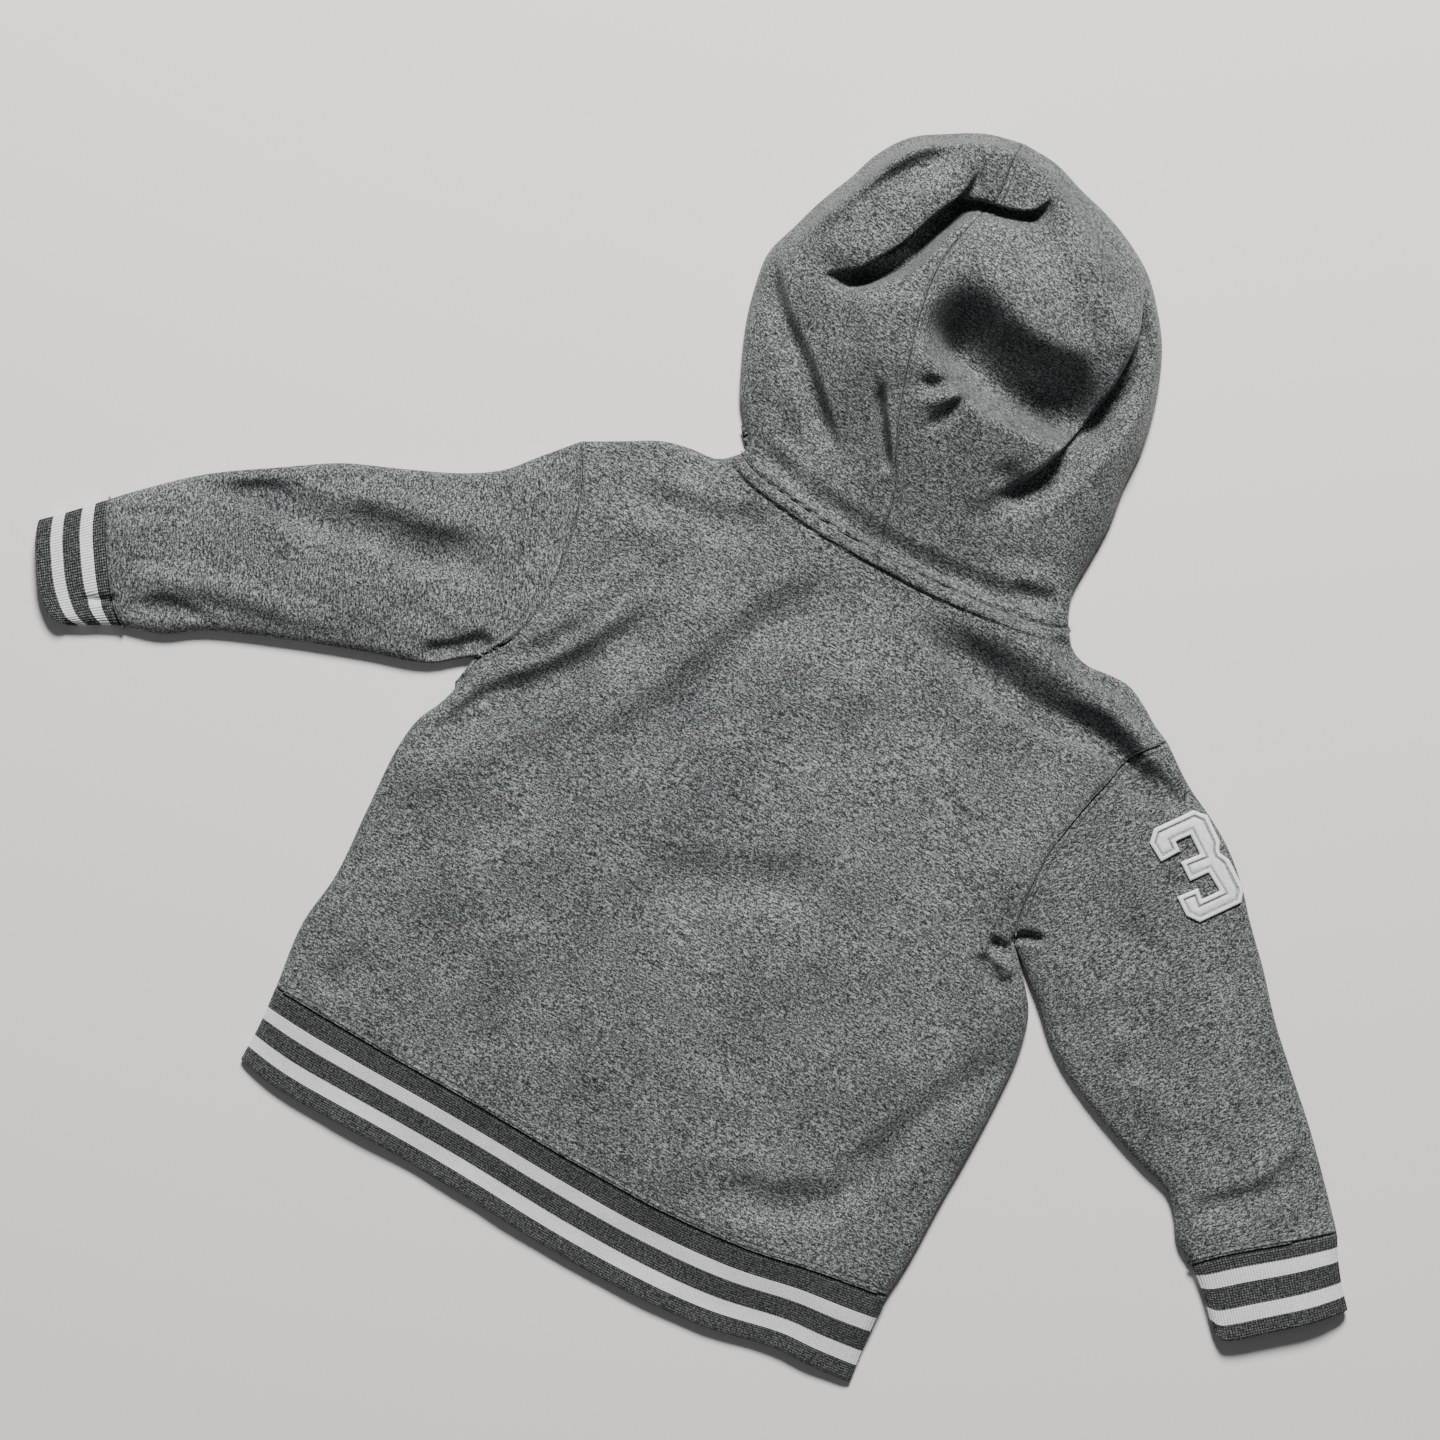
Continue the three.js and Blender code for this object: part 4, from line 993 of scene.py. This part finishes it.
def torsoPanel(name, neck, spacing, upper):
    plan, rolled, sides, shoulder = torsoPlan(neck, spacing)
    outer = facePoints(plan, upper, rolled)
    outer[rolled, 2] += seamGap / 2 if upper else -seamGap / 2
    face = turned(normals(outer), plan.shape[1] // 2, upper)
    corners = [(0, 0), (0, -1), (-1, 0), (-1, -1), (-1, shoulder), (-1, -1 - shoulder)]
    for i, j in corners:
        face = rolledAround(face, outer, outer[i, j, :2].copy(), upper, 5)
    collar = slice(shoulder, -shoulder)
    face[0] = keepUpright(face[0], plan[0])
    face[-1, collar] = keepUpright(face[-1, collar], plan[-1, collar])
    for j in (0, -1):
        face[sides:, j] = keepUpright(face[sides:, j], plan[sides:, j])
    face = squareToOutline(face, outer, [*corners, (sides, 0), (sides, -1)])
    inner = outer - face * torsoLook["thickness"]
    inner[..., 2] = np.maximum(inner[..., 2], offFloor)
    return shell(name, outer, inner, [bodyFleece]), area(outer)


backPiece, backSurface = torsoPanel("back_cloth", neckLine, torsoLook["backSpacing"], True)
frontLine = frontNeckline()
frontPiece, frontSurface = torsoPanel("front_cloth", frontLine, torsoLook["frontSpacing"], False)
print("body panels:", round(backSurface, 4), round(frontSurface, 4), "square metres")

# --- sleeves

sleeveLook = {
    "thickness": 2.2, "spacing": 1.8, "underSpacing": 5.0,
    "leftFlat": (0.275, 0.235), "leftArea": 0.046,
    "rightFlat": (0.275, 0.285), "rightArea": 0.054,
}


def sleevePiece(name, armhole, cut, cuffSeam, side, material):
    half = side * seamGap / 2
    armLine, cuffLine = curve(armhole, 2), curve(cuffSeam, 2)
    underarm = spreadOn(curve(cut["underarm"]), sleeveLook["spacing"])
    overarm = asMany(curve(cut["overarm"]), underarm)
    plans = []
    for spacing in (sleeveLook["spacing"], sleeveLook["underSpacing"]):
        bottom = moved(spreadOn(armLine, spacing), half)
        top = moved(asMany(cuffLine, bottom), -half)
        plans.append(filled(
            bottom, top,
            withEnds(underarm, bottom[0], top[0]), withEnds(overarm, bottom[-1], top[-1]),
        ))
        plans[-1][:, [0, -1]] = plans[0][:, [0, -1]]
    outer = tubeFaces(plans)
    face = turned(normals(outer, around=True), outer.shape[1] // 4)
    for i in (0, -1):
        face[i] = uprightRing(face[i], plans[0][i], plans[1][i])
    face = squareToOutline(face, outer, tubeEnds(plans))
    inner = outer - face * sleeveLook["thickness"]
    inner[..., 2] = np.maximum(inner[..., 2], offFloor)
    return shell(name, outer, inner, [material], around=True), area(outer)


leftSleevePiece, leftSleeveSurface = sleevePiece(
    "left_sleeve_cloth", torsoCut["leftArmhole"], leftSleeveCut, leftCuffCut["seam"], 1,
    leftSleeveFleece,
)
rightSleevePiece, rightSleeveSurface = sleevePiece(
    "right_sleeve_cloth", torsoCut["rightArmhole"], rightSleeveCut, rightCuffCut["seam"], -1,
    rightSleeveFleece,
)
print("sleeves:", round(leftSleeveSurface, 4), round(rightSleeveSurface, 4), "square metres")

# --- hood

hoodLook = {
    "thickness": 2.2, "spacing": 1.4, "underSpacing": 4.0,
    "leftFlat": (0.185, 0.27), "leftArea": 0.037,
    "rightFlat": (0.215, 0.28), "rightArea": 0.045,
}


def hoodPiece(name, neckPart, necklinePart, outline, rim, side):
    # from the centre seam over the dome, round the outline and under to the face opening;
    # side is 1 on the left half and -1 on the right half
    half = seamGap / 2
    neckRow, necklineRow = (
        spreadOn(moved(part, half)[::side], hoodLook[spacing])
        for part, spacing in ((neckPart, "spacing"), (necklinePart, "underSpacing"))
    )
    seamLine = moved(spreadOn(curve(hoodCut["seam"], 2), hoodLook["spacing"]), side * half)
    outlineLine = asMany(curve(outline), seamLine)
    rimLine = asMany(curve(rim, 2), seamLine)
    seamLine[0] = neckRow[-1] - (side * half, 0)
    crown = seamLine[-1]
    rimLine[0] = necklineRow[-1] - (side * half, 0)
    rimLine[-1, 0] -= side * half
    neckRow[-1], necklineRow[-1] = seamLine[0], rimLine[0]
    outlineLine[0], outlineLine[-1] = neckRow[0], crown
    topPlan = filled(neckRow, np.repeat(crown[None], len(neckRow), 0), outlineLine, seamLine)
    crownRow = asMany(np.array([crown, rimLine[-1]]), necklineRow)
    necklineRow[0] = neckRow[0]
    underPlan = filled(necklineRow, crownRow, outlineLine, rimLine)
    topEdge = np.zeros(topPlan.shape[:2], bool)
    topEdge[:, 0] = topEdge[-1] = True
    underEdge = np.zeros(underPlan.shape[:2], bool)
    underEdge[:, 0] = True
    top, under = facePoints(topPlan, True, topEdge), facePoints(underPlan, False, underEdge)
    outer = np.concatenate([top[:, ::-1], under[:, 1:]], 1)
    count = len(neckRow)
    face = rolledAround(turned(normals(outer), count // 2), outer, crown)
    face[:, 0] = keepUpright(face[:, 0], seamLine)
    face[0, :count] = keepUpright(face[0, :count], neckRow[::-1])
    face[0, count:] = keepUpright(face[0, count:], necklineRow[1:])
    face = squareToOutline(face, outer, [(0, count - 1), (-1, 0)])
    face[-1, :count] = face[-1, 0]
    inner = outer - face * hoodLook["thickness"]
    inner[..., 2] = np.maximum(inner[..., 2], offFloor)
    toRim = np.linalg.norm(outer - outer[:, -1:], axis=-1)
    toRim[:, :count] = np.inf     # the upper layer has no open edge
    outer, inner = roundedRim(outer, inner, toRim)
    return shell(name, outer, inner, [hoodFleece]), area(outer)


# both necklines are split below the hood's centre seam
nearSeam = np.argmin(np.hypot(*(neckLine - hoodCut["seam"][0]).T))
backHalves = halves(neckLine, lengths(neckLine)[nearSeam])
frontHalves = halves(frontLine, lengths(frontLine)[-1] / 2)
leftHoodPiece, leftHoodSurface = hoodPiece(
    "hood_left_cloth", backHalves[0], frontHalves[0], hoodCut["leftSide"], hoodCut["leftRim"], 1,
)
rightHoodPiece, rightHoodSurface = hoodPiece(
    "hood_right_cloth", backHalves[1], frontHalves[1], hoodCut["rightSide"], hoodCut["rightRim"], -1,
)
print("hood:", round(leftHoodSurface, 4), round(rightHoodSurface, 4), "square metres")

# --- ribbed bands

bandLook = {
    # millimetres from the seam to the edge, then where the white stripes lie
    "hem": {
        "length": 43.0, "white": [(11.0, 17.6), (27.6, 34.6)],
        "flat": (0.70, 0.045), "area": 0.0305,
    },
    "leftCuff": {
        "length": 36.0, "white": [(6.5, 13.0), (22.0, 28.0)],
        "flat": (0.145, 0.038), "area": 0.0053,
    },
    "rightCuff": {
        "length": 39.0, "white": [(7.0, 14.0), (24.5, 31.5)],
        "flat": (0.155, 0.041), "area": 0.0062,
    },
}


def bandRows(look):
    # distances down the band, with a row on each edge of a stripe
    marks = [0, *(m for stripe in look["white"] for m in stripe), look["length"]]
    near = [0.0, 0.3, 0.7, 1.2, 1.8, 2.6, 3.6]
    far = [look["length"] - d for d in (1.2, 0.7, 0.35, 0.12, 0.0)]
    rows = set(near) | set(far)
    for low, high in zip(marks[:-1], marks[1:]):
        count = max(2, round((high - low) / 2.6))
        rows |= {round(v, 3) for v in np.linspace(low, high, count + 1)}
    rows = sorted(rows)
    keep = [rows[0]]
    for value in rows[1:]:
        if value - keep[-1] > 0.05:
            keep.append(value)
    return np.array(keep)


def ribProfile(count, perRib):
    return 0.5 - 0.5 * np.cos(math.tau * np.arange(count) / perRib)


def bandPiece(name, look, seam, edge, firstSide, lastSide, side):
    seamLine, edgeLine = moved(curve(seam, 2), side * seamGap / 2), curve(edge, 2)
    rows = bandRows(look)
    ribs = round(lengths(seamLine)[-1] / ribLook["pitch"])
    sides = [
        pointsAt(line, rows / look["length"] * lengths(line)[-1])
        for line in (curve(firstSide), curve(lastSide))
    ]
    plans, profiles = [], []
    for columns in (ribLook["columns"], 2):
        share = np.linspace(0, 1, ribs * columns + 1)
        first, last = (pointsAt(line, share * lengths(line)[-1]) for line in (seamLine, edgeLine))
        plans.append(filled(
            first, last,
            withEnds(sides[0], first[0], last[0]), withEnds(sides[1], first[-1], last[-1]),
        ))
        profiles.append(ribProfile(len(share), columns))
    plain = tubeFaces(plans)
    face = turned(normals(plain, around=True), plain.shape[1] // 4)
    face[0] = uprightRing(face[0], plans[0][0], plans[1][0])
    face = squareToOutline(face, plain, tubeEnds(plans))
    raised = np.concatenate([profiles[0], profiles[1][1:-1][::-1] - 1]) * ribLook["rise"]
    fromSeam = smooth(rows / 1.6)     # the ribs rise over the first millimetres
    outer = plain + face * (raised[None] * fromSeam[:, None])[..., None]
    outer[..., 2] = np.maximum(outer[..., 2], 0)
    inner = plain - face * ribLook["thickness"]
    inner[..., 2] = np.maximum(inner[..., 2], ribLook["offFloor"])
    toRim = np.repeat((look["length"] - rows)[:, None], outer.shape[1], 1)
    outer, inner = roundedRim(outer, inner, toRim, 1.2)
    middle = (rows[1:] + rows[:-1]) / 2
    white = np.zeros(len(middle), int)
    for low, high in look["white"]:
        white[(middle > low) & (middle < high)] = 1
    place = np.zeros(outer.shape)
    top, width = plans[0].shape[1], ribs * ribLook["pitch"]
    place[:, :top, 0] = np.linspace(0, width, top)
    place[:, top:, 0] = np.linspace(width, 0, outer.shape[1] - top)
    place[..., 1] = rows[:, None]
    band = shell(name, outer, inner, [greyRib, whiteRib], True, white, place)
    return band, area(plain)


hemPiece, hemSurface = bandPiece(
    "hem_rib", bandLook["hem"], hemBandCut["seam"], hemBandCut["edge"],
    hemBandCut["leftSide"][::-1], hemBandCut["rightSide"][::-1], -1,
)
leftCuffPiece, leftCuffSurface = bandPiece(
    "left_cuff_rib", bandLook["leftCuff"], leftCuffCut["seam"], leftCuffCut["edge"],
    leftCuffCut["under"], leftCuffCut["over"], 1,
)
rightCuffPiece, rightCuffSurface = bandPiece(
    "right_cuff_rib", bandLook["rightCuff"], rightCuffCut["seam"], rightCuffCut["edge"],
    rightCuffCut["under"], rightCuffCut["over"], -1,
)
bandSurfaces = [round(surface, 4) for surface in (hemSurface, leftCuffSurface, rightCuffSurface)]
print("bands:", *bandSurfaces, "square metres")

# --- stitches

threadLook = {
    "length": 2.5, "pitch": 3.2, "radius": 0.24, "proud": 0.16, "sides": 6,
    # along a stitch: share of its length, height and thickness
    "arc": [
        (0, -0.35, 0.45), (0.12, -0.02, 0.85), (0.3, 1, 1), (0.5, 1.15, 1), (0.7, 1, 1),
        (0.88, -0.02, 0.85), (1, -0.35, 0.45),
    ],
}


def threadMaterial(name, low, high):
    material, tree, shader = newMaterial(name, 0.7, 0.0, 0.4)
    twist = noise(tree, onObject(tree), (-700, 0), 1800, 2.0, 0.5)
    colour = ramp(tree, twist, (-480, 60), (0.35, low), (0.65, high))
    finished(tree, shader, twist, colour, 0.4, 0.0001)
    return material


greyThread = threadMaterial("grey_thread", (0.07, 0.08, 0.08), (0.24, 0.26, 0.25))


def upperPoints(plan):
    return facePoints(plan, True, np.zeros(plan.shape[:-1], bool))


def upperFace(plan, step=0.4):
    # the way the cloth faces, from its height a little to each side
    left, right, below, above = (
        upperPoints(plan + offset)[..., 2]
        for offset in ((-step, 0), (step, 0), (0, -step), (0, step))
    )
    face = np.dstack([left - right, below - above, np.full(left.shape, 2 * step)])
    return face / np.linalg.norm(face, axis=-1, keepdims=True)


def stitches(name, line, offset, trim=(3.0, 3.0)):
    # short thread arcs along a line beside a seam, each dipping into the cloth at its ends
    look = threadLook
    path = moved(curve(line, 1.5), offset)
    run = lengths(path)[-1] - sum(trim)
    starts = trim[0] + np.arange(int(run / look["pitch"])) * look["pitch"]
    shares, drop, thick = np.array(look["arc"]).T
    at = starts[:, None] + shares * look["length"]
    plan = pointsAt(path, at.ravel()).reshape(*at.shape, 2)
    face = upperFace(plan)
    core = upperPoints(plan) + face * (drop * look["proud"])[:, None]
    way = np.gradient(core, axis=1)
    way /= np.linalg.norm(way, axis=-1, keepdims=True)
    across = np.cross(way, face)
    turn = np.linspace(0, math.tau, look["sides"], endpoint=False)[:, None]
    ring = across[:, :, None] * np.cos(turn) + face[:, :, None] * np.sin(turn)
    points = core[:, :, None] + ring * (thick * look["radius"])[:, None, None]
    number = np.arange(points[..., 0].size).reshape(points.shape[:3])
    after = np.roll(number, -1, 2)
    walls = np.stack([number[:, :-1], after[:, :-1], after[:, 1:], number[:, 1:]], -1)
    faces = walls.reshape(-1, 4).tolist() + number[:, 0, ::-1].tolist() + number[:, -1].tolist()
    return meshPiece(name, points.reshape(-1, 3), faces, [greyThread])


rowGap = {kind: line[2] for kind, line in sewnLines.items()}
threadRows = {
    # piece: seam, how far the row lies to its left, lengths left free at its ends
    "neck_threads_left": (torsoCut["leftNeck"], -rowGap["neck"], (6, 1)),
    "neck_threads_right": (torsoCut["rightNeck"], rowGap["neck"], (6, 1)),
    "neck_edge_threads_left": (torsoCut["leftNeck"], -1.5, (6, 1)),
    "neck_edge_threads_right": (torsoCut["rightNeck"], 1.5, (6, 1)),
    "left_armhole_threads": (torsoCut["leftArmhole"], rowGap["armhole"], (7, 7)),
    "right_armhole_threads": (torsoCut["rightArmhole"], -rowGap["armhole"], (12, 7)),
    "hood_threads": (hoodCut["seam"], -rowGap["hood"], (4, 12)),
    "hem_threads": (hemBandCut["seam"], rowGap["hem"], (6, 6)),
    "left_cuff_threads": (leftCuffCut["seam"], -rowGap["cuff"], (5, 5)),
    "right_cuff_threads": (rightCuffCut["seam"], rowGap["cuff"], (5, 5)),
}
threads = {name: stitches(name, *row) for name, row in threadRows.items()}
print("stitches:", len(threads), "rows")

# --- numeral on the sleeve

numeralLook = {
    "centre": (206, 309), "across": (0.6, 0.8), "up": (-0.8, 0.6), "size": (31, 52),
    # block figure, from its own lower left corner
    "outline": [
        (-0.6, 17), (-0.6, 6.4), (4.2, 0.6), (27, 0.3), (31, 6), (30.8, 22.5), (28.4, 27.2),
        (28.6, 28.8), (30.6, 32.4), (30.4, 46.8), (25.5, 52.2), (3.6, 52.8), (-1.6, 47.2),
        (-0.4, 36.2), (10.6, 36.8), (10.6, 42.2), (18.6, 42.0), (19.0, 31.2), (8.4, 32.0),
        (8.6, 21.2), (18.8, 21.0), (20.0, 10.4), (10.2, 10.6), (10.8, 16.4),
    ],
    "base": 0.45,       # mm off the cloth
    "fieldRise": 0.75,
    "borderRise": 0.75,
    "borderWidth": 2.7,
}


def insetOutline(corners, amount):
    # each corner moved in along its mitre
    before, after = corners - np.roll(corners, 1, 0), np.roll(corners, -1, 0) - corners
    squares = [np.column_stack([-way[:, 1], way[:, 0]]) for way in (before, after)]
    squares = [square / np.linalg.norm(square, axis=1, keepdims=True) for square in squares]
    mitre = sum(squares)
    mitre /= np.maximum((mitre * squares[0]).sum(1, keepdims=True), 0.45)
    return corners + mitre * amount


def numeralPoints(local, lift):
    # points of the figure laid on the sleeve
    look = numeralLook
    centred = local - np.array(look["size"]) / 2
    plan = look["centre"] + centred[:, :1] * look["across"] + centred[:, 1:] * look["up"]
    return (upperPoints(plan[None]) + upperFace(plan[None]) * lift)[0]


def figureMaterial(name, low, high, roughness, scale, turn):
    material, tree, shader = newMaterial(name, roughness, 0.15, 0.4)
    yarn = noise(tree, stretched(tree, onObject(tree), turn, 4), (-760, 0), scale, 2.0, 0.6)
    colour = ramp(tree, yarn, (-520, 60), (0.35, low), (0.62, high))
    finished(tree, shader, yarn, colour, 0.5, 0.00025)
    return material


twill = figureMaterial("white_twill", (0.60, 0.65, 0.64), (0.80, 0.84, 0.82), 0.75, 1500, 98)
satin = figureMaterial("white_satin", (0.66, 0.71, 0.69), (0.88, 0.91, 0.89), 0.5, 1700, 20)
greyEdge = figureMaterial(
    "grey_edge_thread", (0.16, 0.185, 0.185), (0.40, 0.44, 0.43), 0.75, 1700, 20,
)


def denser(outline, like, longest=1.4):
    # points along each side of a figure, as many as the same side of another has
    points = []
    for a, b, way in zip(outline, np.roll(outline, -1, 0), np.roll(like, -1, 0) - like):
        count = max(1, math.ceil(np.hypot(*way) / longest))
        points += [a + (b - a) * k / count for k in range(count)]
    return np.array(points)


def inside(ring, spacing, margin=0.9):
    # lattice points inside a ring, clear of its edge
    low, high = ring.min(0), ring.max(0)
    x, y = np.meshgrid(np.arange(low[0], high[0], spacing), np.arange(low[1], high[1], spacing))
    x, y = x.ravel(), y.ravel()
    odd = np.zeros(x.shape, bool)
    for (ax, ay), (bx, by) in zip(ring, np.roll(ring, -1, 0)):
        if ay != by:
            odd ^= ((ay > y) != (by > y)) & (x < (bx - ax) * (y - ay) / (by - ay) + ax)
    clear = nearestOn(np.vstack([ring, ring[:1]]), x, y)[0] > margin
    return np.column_stack([x, y])[odd & clear]


def numeralPiece():
    look = numeralLook
    width, field = look["borderWidth"], look["base"] + look["fieldRise"]
    crest = field + look["borderRise"]
    # (inset from the outline, height) over the satin border to the field
    section = [
        (0.0, look["base"]), (0.02, field * 0.8), (0.25, field + 0.35), (0.7, crest - 0.12),
        (width / 2, crest), (width - 0.7, crest - 0.12), (width - 0.25, field + 0.25),
        (width, field - 0.25), (width + 0.35, field - 0.25), (width + 0.6, field + 0.05),
    ]
    lastSatinRow = 4     # the grey thread comes after it
    corners = np.asarray(look["outline"], float)
    rings = [denser(insetOutline(corners, inset), corners) for inset, _ in section]
    bm = bmesh.new()
    verts = [
        [bm.verts.new(point) for point in numeralPoints(ring, lift)]
        for ring, (_, lift) in zip(rings, section)
    ]
    count = len(rings[0])
    for row, (low, high) in enumerate(zip(verts[:-1], verts[1:])):
        for k in range(count):
            n = (k + 1) % count
            wall = bm.faces.new((low[k], low[n], high[n], high[k]))
            wall.material_index = 2 if row > lastSatinRow else 1
    # the field and the underside are filled flat, then laid on the sleeve
    sides = [(k, (k + 1) % count) for k in range(count)]
    for ring, lift, rim in ((rings[-1], field, verts[-1]), (rings[0], look["base"], verts[0])):
        local = [*map(Vector, ring), *map(Vector, inside(ring, 2.4))]
        flat, _, fills, origins, _, _ = delaunay_2d_cdt(local, sides, [], 1, 1e-6)
        laid = numeralPoints(np.array([tuple(v) for v in flat]), lift)
        made = []
        for point, sources in zip(laid, origins):
            mine = [n for n in sources if n < count]
            made.append(rim[mine[0]] if mine else bm.verts.new(point))
        for fill in fills:
            bm.faces.new([made[k] for k in fill]).material_index = 0
    bmesh.ops.recalc_face_normals(bm, faces=bm.faces)
    for vert in bm.verts:
        vert.co = onModel(vert.co)
    mesh = bpy.data.meshes.new("numeral")
    bm.to_mesh(mesh)
    bm.free()
    for material in (twill, satin, greyEdge):
        mesh.materials.append(material)
    mesh.shade_smooth()
    return placed("numeral", mesh)


numeral = numeralPiece()
print("numeral:", len(numeral.data.polygons), "faces")

# --- each piece takes its CAD node's place and rides on the one body

pieces = [
    # piece, node, slot, cut's flat size, cut's area, threads that go with it
    (backPiece, "back_panel", "fleece", torsoLook["backFlat"], torsoLook["backArea"], [
        "neck_threads_left", "neck_threads_right", "neck_edge_threads_left",
        "neck_edge_threads_right", "hem_threads",
    ]),
    (frontPiece, "front_panel", "fleece", torsoLook["frontFlat"], torsoLook["frontArea"], []),
    (leftSleevePiece, "left_sleeve", "fleece", sleeveLook["leftFlat"], sleeveLook["leftArea"],
     ["left_armhole_threads", "left_cuff_threads"]),
    (rightSleevePiece, "right_sleeve", "fleece", sleeveLook["rightFlat"], sleeveLook["rightArea"],
     ["right_armhole_threads", "right_cuff_threads"]),
    (leftHoodPiece, "hood_left", "fleece", hoodLook["leftFlat"], hoodLook["leftArea"], []),
    (rightHoodPiece, "hood_right", "fleece", hoodLook["rightFlat"], hoodLook["rightArea"],
     ["hood_threads"]),
]
for piece, node, look in (
    (hemPiece, "hem_band", "hem"), (leftCuffPiece, "left_cuff", "leftCuff"),
    (rightCuffPiece, "right_cuff", "rightCuff"),
):
    pieces.append((piece, node, "ribbing", bandLook[look]["flat"], bandLook[look]["area"], []))
pieces.append((numeral, "sleeve_numeral", "applique", None, None, []))

for piece, node, slot, flat, cutArea, sewing in pieces:
    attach(piece, "root")
    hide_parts(node)
    for row in sewing:
        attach(threads[row], "root")

# --- floor, light and camera

stageLook = {
    "floorColour": (0.84, 0.815, 0.80),
    "centre": (-0.0336, -0.0265),   # of the picture, on the cloth
    "turn": 27.75,                  # degrees from the garment to the picture
    "picture": 0.72,                # metres across the picture at the cloth
    "cloth": 0.010,                 # the cloth's height
    "cameraHeight": 1.9,            # above the cloth
    # right, up, height and size in metres, watts and colour
    "key_light": (0.25, 1.8, 1.95, 0.75, 146, (1.0, 0.985, 0.96)),
    "fill_light": (-0.9, -0.4, 1.6, 1.6, 1.6, (0.93, 0.97, 1.0)),
    "sky": 0.075,
}

floorMesh = bpy.data.meshes.new("floor")
floorMesh.from_pydata([(-3, -3, 0), (3, -3, 0), (3, 3, 0), (-3, 3, 0)], [], [(0, 1, 2, 3)])
floor = placed("floor", floorMesh)
floor.location.z = -0.0002
floorPaint, _, floorShader = newMaterial("pale_floor", 0.85, 0.0, 0.2)
floorShader.inputs["Base Color"].default_value = (*stageLook["floorColour"], 1)
floorMesh.materials.append(floorPaint)


def pictureDirection(right, up):
    turn = math.radians(stageLook["turn"])
    return (
        right * math.cos(turn) - up * math.sin(turn),
        right * math.sin(turn) + up * math.cos(turn),
    )


def softLight(name, right, up, height, size, watts, colour):
    lamp = bpy.data.lights.new(name, "AREA")
    lamp.shape = "DISK"
    lamp.size = size
    lamp.energy = watts
    lamp.color = colour
    light = placed(name, lamp)
    x, y = pictureDirection(right, up)
    light.location = (stageLook["centre"][0] + x, stageLook["centre"][1] + y, height)
    light.rotation_euler = Vector((x, y, height)).to_track_quat("Z", "Y").to_euler()


for name in ("key_light", "fill_light"):
    softLight(name, *stageLook[name])

world = bpy.data.worlds.new("studio")
bpy.context.scene.world = world
world.use_nodes = True
backdrop = world.node_tree.nodes["Background"]
backdrop.inputs["Color"].default_value = (0.93, 0.96, 1.0, 1)
backdrop.inputs["Strength"].default_value = stageLook["sky"]

lens = bpy.data.cameras.new("camera")
lens.sensor_width = 36
lens.lens = lens.sensor_width * stageLook["cameraHeight"] / stageLook["picture"]
lens.clip_end = 20
camera = placed("camera", lens)
camera.location = (*stageLook["centre"], stageLook["cameraHeight"] + stageLook["cloth"])
camera.rotation_euler = (0, 0, math.radians(stageLook["turn"]))
bpy.context.scene.camera = camera
print("floor, lights and camera ready")
